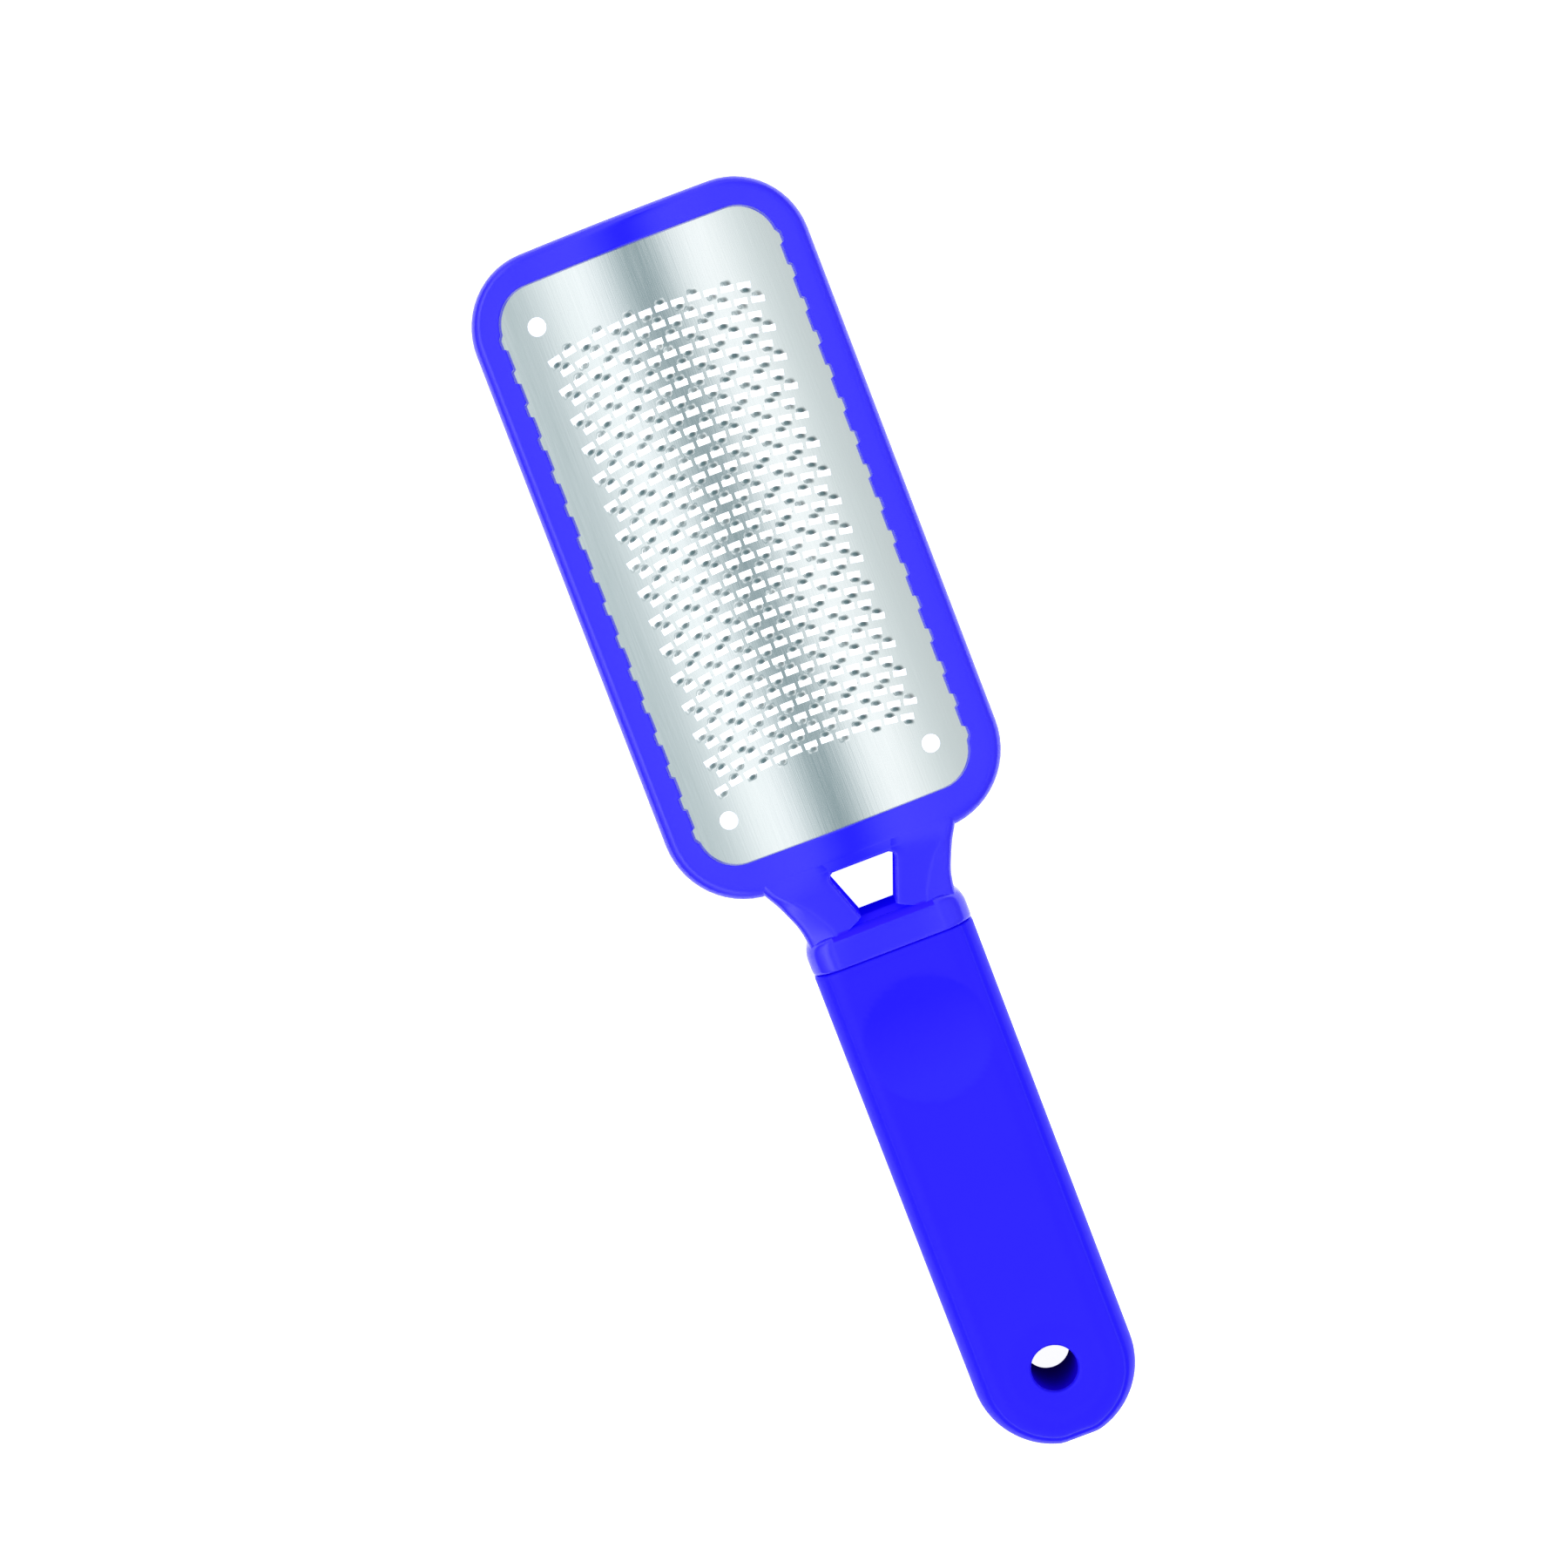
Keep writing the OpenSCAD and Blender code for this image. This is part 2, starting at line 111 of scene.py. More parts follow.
# The tent is a half tube along the tool, and only glossy surfaces see it. Its tones are given by the
# turn from straight up, in degrees. A ramp holds tones up to 1, so it has them halved, with twice the glow
TENT_R = 0.95
TENT_REACH = 1.1
TENT_STEPS = 120
TENT_GLOW = 1.45
TENT_PLACE = (-0.009, 0, 0)
TENT_SWING = -0.08
TENT_TONES = (
    (-90, (0.2, 0.2, 0.2)), (-62, (0.35, 0.35, 0.35)), (-48, (0.75, 0.75, 0.75)), (-38, (1.4, 1.4, 1.4)),
    (-31, (0.95, 0.97, 0.97)), (-26, (0.42, 0.47, 0.48)), (-23.5, (0.33, 0.395, 0.405)),
    (-20.7, (0.36, 0.41, 0.42)), (-17.3, (0.5, 0.55, 0.56)), (-13.7, (0.69, 0.72, 0.72)),
    (-10.7, (0.77, 0.79, 0.79)), (-7.6, (0.72, 0.74, 0.75)), (-4.7, (0.47, 0.53, 0.54)),
    (-1.8, (0.19, 0.255, 0.27)), (0, (0.145, 0.2, 0.215)), (1.8, (0.19, 0.255, 0.27)),
    (4.7, (0.5, 0.55, 0.56)), (7.6, (0.73, 0.75, 0.75)), (10.7, (0.78, 0.79, 0.79)),
    (13.7, (0.7, 0.72, 0.72)), (17.3, (0.54, 0.58, 0.58)), (20.7, (0.45, 0.49, 0.49)),
    (27, (0.42, 0.45, 0.45)), (40, (0.36, 0.37, 0.37)), (90, (0.25, 0.25, 0.25)),
)
tent_turn = np.linspace(-np.pi / 2, np.pi / 2, TENT_STEPS + 1)
tent_x, tent_z = TENT_R * np.sin(tent_turn), TENT_R * np.cos(tent_turn)
tent_points = [np.column_stack([tent_x, tent_x * 0 + end, tent_z]) for end in (-TENT_REACH, TENT_REACH)]
step = np.arange(TENT_STEPS)
across_tent = step + TENT_STEPS + 1
tent_faces = np.stack([step, across_tent, across_tent + 1, step + 1], 1)
tent_mesh = bpy.data.meshes.new("tent")
tent_mesh.from_pydata(np.concatenate(tent_points).tolist(), [], tent_faces.tolist())
tent_mesh.shade_smooth()
turn_share = tent_mesh.attributes.new("turn", "FLOAT", "POINT")
turn_share.data.foreach_set("value", np.tile(tent_turn / np.pi + 0.5, 2).astype(np.float32))
tent = bpy.data.objects.new("tent", tent_mesh)
scene.collection.objects.link(tent)
tent.location = TENT_PLACE
tent.rotation_euler = (0, 0, TENT_SWING)
tent.visible_camera = False
tent.visible_diffuse = False
tent.visible_shadow = False
tent.visible_transmission = False
tent_cloth = bpy.data.materials.new("tent_cloth")
tent_cloth.use_nodes = True
tent_tree = tent_cloth.node_tree
tent_tree.nodes.clear()
tent_place = shader(tent_tree, "ShaderNodeAttribute", attribute_name="turn")
tent_ramp = shader(tent_tree, "ShaderNodeValToRGB")
tent_light = shader(tent_tree, "ShaderNodeEmission", {"Strength": 2 * TENT_GLOW})
tent_out = shader(tent_tree, "ShaderNodeOutputMaterial")
tent_ramp.color_ramp.interpolation = "B_SPLINE"
while len(tent_ramp.color_ramp.elements) < len(TENT_TONES):
    tent_ramp.color_ramp.elements.new(1)
for stop, (turn, tone) in zip(tent_ramp.color_ramp.elements, TENT_TONES):
    stop.position = turn / 180 + 0.5
    stop.color = (*np.array(tone) / 2, 1)
tent_tree.links.new(tent_place.outputs["Fac"], tent_ramp.inputs[0])
tent_tree.links.new(tent_ramp.outputs["Color"], tent_light.inputs["Color"])
tent_tree.links.new(tent_light.outputs[0], tent_out.inputs["Surface"])
tent_mesh.materials.append(tent_cloth)

# Both lamps are large and soft, and glossy surfaces see the tent in their place
for lamp_name, lamp_place, lamp_size, lamp_power in (
    ("key_lamp", (-1.05, 0.25, 0.95), 1.1, 10.0),
    ("fill_lamp", (1.2, -0.1, 1.1), 1.3, 11.0),
):
    lamp = bpy.data.objects.new(lamp_name, bpy.data.lights.new(lamp_name, "AREA"))
    lamp.data.size = lamp_size
    lamp.data.energy = lamp_power
    lamp.location = lamp_place
    lamp.rotation_euler = (-Vector(lamp_place)).to_track_quat("-Z", "Y").to_euler()
    lamp.visible_glossy = False
    scene.collection.objects.link(lamp)

# The camera stands over the head, near enough for the head to look larger than the grip's end
camera_place = Vector((2.56, 57.77, 447.88)) * MM
camera_aim = Vector((-8.67, 15.54, 4.98)) * MM
camera_up = Vector((0.3576, 0.9287, -0.0976))
camera = bpy.data.objects.new("camera", bpy.data.cameras.new("camera"))
camera.data.sensor_width = 36
camera.data.lens = 51.35
camera.data.clip_start = 0.01
back = (camera_place - camera_aim).normalized()
right = camera_up.cross(back).normalized()
up = back.cross(right)
camera.matrix_world = Matrix.Translation(camera_place) @ Matrix((right, up, back)).transposed().to_4x4()
scene.collection.objects.link(camera)
scene.camera = camera


# Blade: one sheet of half-millimetre stainless steel, bent to a low arch. Its teeth are punched: each
# punch opens a slot and pushes a small burr up over one side of it. Three holes placed the sheet in
# the press. The frame's plastic is moulded round its border.
# Every burr is darkened by a soft oval of painted shade, whose strength is drawn for each tooth
WINDOW_W = 57.1
WINDOW_NEAR = 3.8
WINDOW_FAR = 124.0
WINDOW_R = 7.8
TUCK = 1.7
BLADE_T = 0.5
ARCH_R = 175
BLADE_EDGE_Z = 7.4
ROWS = 31
COLS = 13
ROW_PITCH = 2.98
COL_PITCH = 3.28
SLOT_LEN = 2.56
SLOT_W = 1.25
SLOT_GAP = ROW_PITCH - SLOT_W
ROW_BOW_R = 103
PATTERN_Y = (WINDOW_NEAR + WINDOW_FAR) / 2 + 2.1
TOOTH_LEN = 1.7
TOOTH_RUN = 0.85
TOOTH_RISE = 0.3
TOOTH_LEAN = 0.14
TOOTH_BACK = 0.9
BURR_SHADE_SEED = 4
BURR_SHADE_MEAN = 0.92
BURR_SHADE_SPREAD = 0.2
BURR_SHADE_LEAST = 0.35
NO_TOOTH = 99.0
HOLE_R = 1.85
HOLE_MARGIN = 0.75
HOLE_RINGS = (0.35, 0.7, 1.0)
HOLE_SIDE = WINDOW_W / 2 - 7.2
HOLES = ((-HOLE_SIDE, WINDOW_FAR - 8.1), (-HOLE_SIDE, WINDOW_NEAR + 9.2), (HOLE_SIDE, WINDOW_NEAR + 9.2))
TOOTH_LINES = (0.58, 0.82, 1.06)
BORDER_LINES = 7
GAP_LINES = 7
NEAR_LINES = 13
FAR_LINES = 11
STEEL_TONES = (0.83, 0.865, 0.872), (0.865, 0.9, 0.907)
BURR_SHADE_TONE = (0.17, 0.25, 0.27)
BURR_ROUGH = 0.4
BURR_SHADE_BEHIND = 0.4
BURR_SHADE_HALF_LEN = 0.92
BURR_SHADE_HALF_W = 0.52
BURR_SHADE_FADE = {"From Min": 1.3, "From Max": 0.35}


def face_z(x):
    """Height of the sheet's face: the arch's circle, set so that it meets the window's long edges."""
    return BLADE_EDGE_Z + np.sqrt(ARCH_R**2 - x**2) - np.sqrt(ARCH_R**2 - (WINDOW_W / 2) ** 2)


def make_piece(name, points, faces, sharp=0.6):
    """A piece from points in millimetres, smooth but for edges that turn by more than sharp radians."""
    mesh = bpy.data.meshes.new(name)
    mesh.from_pydata((np.asarray(points, float) * MM).tolist(), [], faces)
    mesh.validate()
    mesh.shade_smooth()
    mesh.set_sharp_from_angle(angle=sharp)
    piece = bpy.data.objects.new(name, mesh)
    scene.collection.objects.link(piece)
    return piece


def lines_across():
    """Lines along the blade, six to each half column, so that both kinds of row find their slots' ends."""
    half, end = COL_PITCH / 2, SLOT_LEN / 2
    steps = np.array([0, half - end, *TOOTH_LINES, end])
    inside = (-COL_PITCH / 4 + half * np.arange(-COLS, COLS + 1)[:, None] + steps).ravel()
    edge = WINDOW_W / 2 + TUCK
    left = np.linspace(-edge, inside[0], BORDER_LINES)[:-1]
    right_side = np.linspace(inside[-1], edge, BORDER_LINES)[1:]
    return np.concatenate([left, inside, right_side])


def end_line(x, end_y, toward):
    """The blade's end: straight, then a quarter circle to the long side; toward is 1 or -1."""
    r = WINDOW_R + TUCK
    over = np.maximum(np.abs(x) - (WINDOW_W / 2 + TUCK - r), 0)
    return end_y + toward * (TUCK - r + np.sqrt(np.maximum(r**2 - over**2, 0)))


def nearest_tooth(own):
    """For every row and line: the distance to the row's nearest tooth of this kind, and the strength of its
    painted shade.
    """
    away = np.where(own[:, :, None], np.abs(across - slot_middles[:, :, None]), NO_TOOTH)
    return away.min(1), np.take_along_axis(tooth_shade, away.argmin(1), 1)


def tooth_shape(away, behind):
    """A tooth's two shares: a cosine to the power 1.5 along its slot, and a cosine's fall behind the edge."""
    along = np.cos(np.minimum(away / TOOTH_LEN, 0.5) * np.pi) ** 1.5
    return along, np.cos(np.minimum(behind / TOOTH_RUN, 1) * np.pi / 2)


def round_hole(plan, index, keep, middle):
    """Takes a block of cells out round a hole and fills it with rings that turn from a square to a circle."""
    grid = plan[index]
    reach = HOLE_R + HOLE_MARGIN
    near = (np.abs(grid[:, :, 0] - middle[0]) < reach) & (np.abs(grid[:, :, 1] - middle[1]) < reach)
    rows, cols = np.where(near)
    i0, i1, j0, j1 = rows.min() - 1, rows.max() + 1, cols.min() - 1, cols.max() + 1
    keep[i0:i1, j0:j1] = False
    edge = np.concatenate([index[i0, j0:j1], index[i0:i1, j1], index[i1, j1:j0:-1], index[i1:i0:-1, j0]])
    start = plan[edge]
    way = start[:, :2] - middle
    rim = start.copy()
    rim[:, :2] = np.array(middle) + HOLE_R * way / np.linalg.norm(way, axis=1, keepdims=True)
    rings = start + (rim - start) * np.array(HOLE_RINGS)[:, None, None]
    numbers = np.arange(len(HOLE_RINGS) * len(edge)).reshape(len(HOLE_RINGS), -1)
    loops = np.concatenate([edge[None], len(plan) + numbers])
    faces = np.stack([loops[:-1], np.roll(loops[:-1], -1, 1), np.roll(loops[1:], -1, 1), loops[1:]], -1)
    return np.concatenate([plan, rings.reshape(-1, plan.shape[1])]), faces.reshape(-1, 4)


# Rows are counted from the near end. The far row lies a quarter of a column to the left, the next one a
# quarter to the right, and so on. A seeded draw gives every tooth's painted shade its own strength
across = lines_across()
from_far = ROWS - 1 - np.arange(ROWS)[:, None]
column = np.arange(COLS)[None, :]
slot_middles = (column - (COLS - 1) / 2) * COL_PITCH + np.where(from_far % 2 == 0, -1, 1) * COL_PITCH / 4
near_side = (from_far + column) % 2 == 0
drawn_shade = np.random.default_rng(BURR_SHADE_SEED).normal(BURR_SHADE_MEAN, BURR_SHADE_SPREAD, slot_middles.shape)
tooth_shade = np.clip(drawn_shade, BURR_SHADE_LEAST, 1)

# Every gap between two rows has GAP_LINES lines, whose share runs from the nearer row to the farther one
line_gap = np.repeat(np.arange(ROWS + 1), GAP_LINES)
line_share = np.tile(np.linspace(0, 1, GAP_LINES), ROWS + 1)[:, None]
row_middle = PATTERN_Y + ROW_PITCH * (line_gap[:, None] - (ROWS - 1) / 2)
line_y = row_middle - SLOT_W / 2 - SLOT_GAP * (1 - line_share)
far_away, far_shade = nearest_tooth(~near_side)
near_away, near_shade = nearest_tooth(near_side)
nothing = np.full((1, len(across)), NO_TOOTH)
low_away = np.concatenate([nothing, far_away])[line_gap]
low_shade = np.concatenate([nothing, far_shade])[line_gap]
high_away = np.concatenate([near_away, nothing])[line_gap]
high_shade = np.concatenate([near_shade, nothing])[line_gap]
low_behind = SLOT_GAP * line_share + 0 * low_away
high_behind = SLOT_GAP * (1 - line_share) + 0 * low_away
low_along, low_fall = tooth_shape(low_away, low_behind)
high_along, high_fall = tooth_shape(high_away, high_behind)
rise = TOOTH_RISE * (low_along * low_fall + high_along * high_fall)
lean = TOOTH_LEAN * (high_along * high_fall**3 - low_along * low_fall**3)
row_x = across * (1 + SLOT_W / 2 * (1 - 2 * line_share) / ROW_BOW_R)
row_y = line_y - across**2 / (2 * ROW_BOW_R)

# The end bars: lines fanned out from the last row to the outline, with no teeth
near_share = np.linspace(0, 1, NEAR_LINES)[:-1, None]
far_share = np.linspace(1, 0, FAR_LINES)[1:, None]
near_end, far_end = end_line(across, WINDOW_NEAR, -1), end_line(across, WINDOW_FAR, 1)
plan_x = np.concatenate([
    across + near_share * (row_x[0] - across), row_x, across + far_share * (row_x[-1] - across),
])
plan_y = np.concatenate([
    near_end + (row_y[0] - near_end) * near_share, row_y + lean, far_end + (row_y[-1] - far_end) * far_share,
])


def with_ends(values, at_ends):
    """Values over the rows' lines, with one value over the lines of the end bars."""
    return np.pad(values, ((len(near_share), len(far_share)), (0, 0)), constant_values=at_ends)


plan = np.stack([
    plan_x, plan_y, with_ends(rise, 0),
    with_ends(low_away, NO_TOOTH), with_ends(low_behind, NO_TOOTH), with_ends(low_shade, 0),
    with_ends(high_away, NO_TOOTH), with_ends(high_behind, NO_TOOTH), with_ends(high_shade, 0),
], -1).reshape(-1, 9)
index = np.arange(len(plan)).reshape(plan_x.shape)
keep = np.ones((plan_x.shape[0] - 1, plan_x.shape[1] - 1), bool)
cell_middle = (across[1:] + across[:-1]) / 2
slot_cell = (np.abs(cell_middle - slot_middles[:, :, None]) < SLOT_LEN / 2).any(1)
keep[len(near_share) + (np.arange(ROWS) + 1) * GAP_LINES - 1] = ~slot_cell
ring_faces = []
for hole in HOLES:
    plan, more = round_hole(plan, index, keep, hole)
    ring_faces.append(more)
i, j = np.where(keep)
top_faces = np.stack([index[i, j], index[i, j + 1], index[i + 1, j + 1], index[i + 1, j]], 1)
top_faces = np.concatenate([top_faces, *ring_faces])
used, renumbered = np.unique(top_faces, return_inverse=True)
plan, top_faces = plan[used], renumbered.reshape(-1, 4)

# The sheet's two faces stand square to the arch, and a wall joins them along every open edge
tilt = plan[:, 0] / ARCH_R
face = face_z(plan[:, 0])
top = np.stack([plan[:, 0] + tilt * plan[:, 2], plan[:, 1], face + plan[:, 2]], 1)
under_z = face - BLADE_T + TOOTH_BACK * plan[:, 2]
under = np.stack([plan[:, 0] - tilt * BLADE_T, plan[:, 1], under_z], 1)
count = len(plan)
starts, stops = top_faces.ravel(), np.roll(top_faces, -1, 1).ravel()
open_edge = ~np.isin(starts * count + stops, stops * count + starts)
a, b = starts[open_edge], stops[open_edge]
walls = np.stack([a, a + count, b + count, b], 1)
faces = np.concatenate([top_faces, top_faces[:, ::-1] + count, walls]).tolist()
blade = make_piece("toothed_blade", np.concatenate([top, under]), faces, sharp=0.9)
# Both faces carry, for the nearest tooth below and above, its distance along, its distance behind and the
# strength of its painted shade
for name, first in (("tooth_below", 3), ("tooth_above", 6)):
    place = blade.data.attributes.new(name, "FLOAT_VECTOR", "POINT")
    both_faces = np.tile(plan[:, first:first + 3], (2, 1))
    place.data.foreach_set("vector", both_faces.astype(np.float32).ravel())


def grain_group():
    """Fine grain: a quick noise as a height, and a slow one as a tone that drifts over the surface."""
    group = bpy.data.node_groups.new("fine_grain", "ShaderNodeTree")
    sockets = group.interface
    sockets.new_socket("Vector", in_out="INPUT", socket_type="NodeSocketVector")
    for name, value in (("Fine", 6000.0), ("Slow", 60.0), ("Stretch", 1.0)):
        sockets.new_socket(name, in_out="INPUT", socket_type="NodeSocketFloat").default_value = value
    sockets.new_socket("Height", in_out="OUTPUT", socket_type="NodeSocketFloat")
    sockets.new_socket("Tone", in_out="OUTPUT", socket_type="NodeSocketFloat")
    given, out = shader(group, "NodeGroupInput"), shader(group, "NodeGroupOutput")
    scale = shader(group, "ShaderNodeCombineXYZ", {0: 1, 2: 1})
    place = shader(group, "ShaderNodeVectorMath", operation="MULTIPLY")
    fine = shader(group, "ShaderNodeTexNoise", {"Detail": 3, "Roughness": 0.6})
    slow = shader(group, "ShaderNodeTexNoise", {"Detail": 2, "Roughness": 0.5})
    join = group.links.new
    join(given.outputs["Stretch"], scale.inputs[1])
    join(given.outputs["Vector"], place.inputs[0])
    join(scale.outputs[0], place.inputs[1])
    join(place.outputs[0], fine.inputs["Vector"])
    join(given.outputs["Vector"], slow.inputs["Vector"])
    join(given.outputs["Fine"], fine.inputs["Scale"])
    join(given.outputs["Slow"], slow.inputs["Scale"])
    join(fine.outputs[0], out.inputs["Height"])
    join(slow.outputs[0], out.inputs["Tone"])
    return group


def finish(name, low, high, rough, bump, fine, slow, stretch, **plain):
    """A material whose colour drifts between two tones, with a band of roughness and a fine bump."""
    made = bpy.data.materials.new(name)
    made.use_nodes = True
    tree = made.node_tree
    surface = tree.nodes["Principled BSDF"]
    for socket, value in plain.items():
        surface.inputs[socket.replace("_", " ")].default_value = value
    place = shader(tree, "ShaderNodeTexCoord")
    grain = shader(tree, "ShaderNodeGroup", {}, node_tree=fine_grain)
    for socket, value in (("Fine", fine), ("Slow", slow), ("Stretch", stretch)):
        grain.inputs[socket].default_value = value
    tone = shader(tree, "ShaderNodeMix", {6: (*low, 1), 7: (*high, 1)}, data_type="RGBA")
    reach = {"From Min": 0.3, "From Max": 0.7, "To Min": rough[0], "To Max": rough[1]}
    band = shader(tree, "ShaderNodeMapRange", reach)
    relief = shader(tree, "ShaderNodeBump", {"Strength": bump, "Distance": 0.0001})
    join = tree.links.new
    join(place.outputs["Object"], grain.inputs["Vector"])
    join(grain.outputs["Tone"], tone.inputs["Factor"])
    join(grain.outputs["Height"], band.inputs["Value"])
    join(grain.outputs["Height"], relief.inputs["Height"])
    join(tone.outputs[2], surface.inputs["Base Color"])
    join(band.outputs[0], surface.inputs["Roughness"])
    join(relief.outputs[0], surface.inputs["Normal"])
    return made


def turn_to(material, mask, colour, rough):
    """Where the mask is 1, the surface turns to this colour and this roughness."""
    tree = material.node_tree
    surface = tree.nodes["Principled BSDF"]
    for socket, value, kind, given, put_out in (
        ("Base Color", (*colour, 1), "RGBA", 6, 2), ("Roughness", rough, "FLOAT", 2, 0),
    ):
        mix = shader(tree, "ShaderNodeMix", data_type=kind)
        mix.inputs[given + 1].default_value = value
        tree.links.new(surface.inputs[socket].links[0].from_socket, mix.inputs[given])
        tree.links.new(mask, mix.inputs[0])
        tree.links.new(mix.outputs[put_out], surface.inputs[socket])


def burr_shade_group():
    """A soft oval of painted shade behind the slot's edge, from a place given as along, behind and shade
    strength.
    """
    group = bpy.data.node_groups.new("burr_shade_oval", "ShaderNodeTree")
    sockets = group.interface
    sockets.new_socket("Place", in_out="INPUT", socket_type="NodeSocketVector")
    sockets.new_socket("Oval", in_out="OUTPUT", socket_type="NodeSocketFloat")
    given, out = shader(group, "NodeGroupInput"), shader(group, "NodeGroupOutput")
    to_round = (1 / BURR_SHADE_HALF_LEN, 1 / BURR_SHADE_HALF_W, 0)
    middle = shader(group, "ShaderNodeVectorMath", {1: (0, BURR_SHADE_BEHIND, 0)}, operation="SUBTRACT")
    scaled = shader(group, "ShaderNodeVectorMath", {1: to_round}, operation="MULTIPLY")
    reach = shader(group, "ShaderNodeVectorMath", operation="LENGTH")
    oval = shader(group, "ShaderNodeMapRange", BURR_SHADE_FADE, interpolation_type="SMOOTHSTEP")
    parts = shader(group, "ShaderNodeSeparateXYZ")
    worn = shader(group, "ShaderNodeMath", operation="MULTIPLY")
    join = group.links.new
    join(given.outputs["Place"], middle.inputs[0])
    join(given.outputs["Place"], parts.inputs[0])
    join(middle.outputs[0], scaled.inputs[0])
    join(scaled.outputs[0], reach.inputs[0])
    join(reach.outputs["Value"], oval.inputs["Value"])
    join(oval.outputs[0], worn.inputs[0])
    join(parts.outputs["Z"], worn.inputs[1])
    join(worn.outputs[0], out.inputs["Oval"])
    return group


fine_grain = grain_group()
steel = finish(
    "bright_steel", *STEEL_TONES, rough=(0.1, 0.16), bump=0.05, fine=3500, slow=40, stretch=0.02,
    Metallic=1.0,
)
burr_shade_oval = burr_shade_group()
# Painted shade: a dark oval behind each slot's edge, over its burr, turns the steel to the burr's shade tone
# and roughness
either = shader(steel.node_tree, "ShaderNodeMath", operation="MAXIMUM")
for k, name in enumerate(("tooth_below", "tooth_above")):
    place = shader(steel.node_tree, "ShaderNodeAttribute", attribute_name=name)
    burr = shader(steel.node_tree, "ShaderNodeGroup", {}, node_tree=burr_shade_oval)
    steel.node_tree.links.new(place.outputs["Vector"], burr.inputs["Place"])
    steel.node_tree.links.new(burr.outputs["Oval"], either.inputs[k])
turn_to(steel, either.outputs[0], BURR_SHADE_TONE, BURR_ROUGH)
blade.data.materials.append(steel)
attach(blade, "root")
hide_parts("blade")


# Frame: one moulding of blue plastic. Its head is a nearly flat ring with a lip over the blade's border,
# notched along both long sides where the mould's pins held the sheet. Two spokes run from the head to a
# collar, with an open gap between them and a dark shelf that slopes down into it.
HEAD_W = 70.4
FAR_W = 68.9
FAR_Y = 130.0
NEAR_Y = -3.8
FAR_R = 14.9
NEAR_R = 16.2
LIP_T = 1.1
LIP_ROUND = 0.3
CROWN_RISE = 0.35
CROWN_SHARE = 0.66
SHOULDER_DROP = 2.1
BACK_R = 1.2
NOTCHES = 16
NOTCH_PITCH = 6.87
NOTCH_LEN = 2.9
NOTCH_DEPTH = 0.65
NOTCH_SLOPE = 0.35
NOTCH_UNDER = 0.25
WALL_UNDER = 0.3
WALL_MIDDLE_Z = 4.0
LEAST_STEP = 0.02
MARK_MARGIN = 0.1
CORNER_STEPS = 14
BAR_LINES = 22
ROUND_LINES = 5
RISE_LINES = 9
SHOULDER_LINES = 13


def corner_arc(corners, i, r, steps):
    """Points of the circle of radius r that touches both sides of corner i, from one side to the other."""
    p, before, after = corners[i], corners[i - 1], corners[(i + 1) % len(corners)]
    a = (before - p) / np.linalg.norm(before - p)
    b = (after - p) / np.linalg.norm(after - p)
    half = np.arccos(a @ b) / 2
    centre = p + (a + b) / np.linalg.norm(a + b) * r / np.sin(half)
    first, last = p + a * r / np.tan(half) - centre, p + b * r / np.tan(half) - centre
    sweep = np.pi - 2 * half
    t = np.linspace(0, 1, steps + 1)[:, None]
    return centre + (first * np.sin(sweep * (1 - t)) + last * np.sin(sweep * t)) / np.sin(sweep)


def rounded_loop(near_w, far_w, y0, y1, radii):
    """A trapezoid's outline with round corners, its straight sides divided at the shared places."""
    corners = np.array([[-far_w / 2, y1], [far_w / 2, y1], [near_w / 2, y0], [-near_w / 2, y0]])
    arcs = [corner_arc(corners, i, radii[i], CORNER_STEPS) for i in range(4)]
    shares_by_side = (bar_shares, 1 - side_shares[::-1], bar_shares, side_shares)
    parts = []
    for arc, after, shares in zip(arcs, arcs[1:] + arcs[:1], shares_by_side):
        parts += [arc, arc[-1] + (after[0] - arc[-1]) * shares[:, None]]
    return np.concatenate(parts)


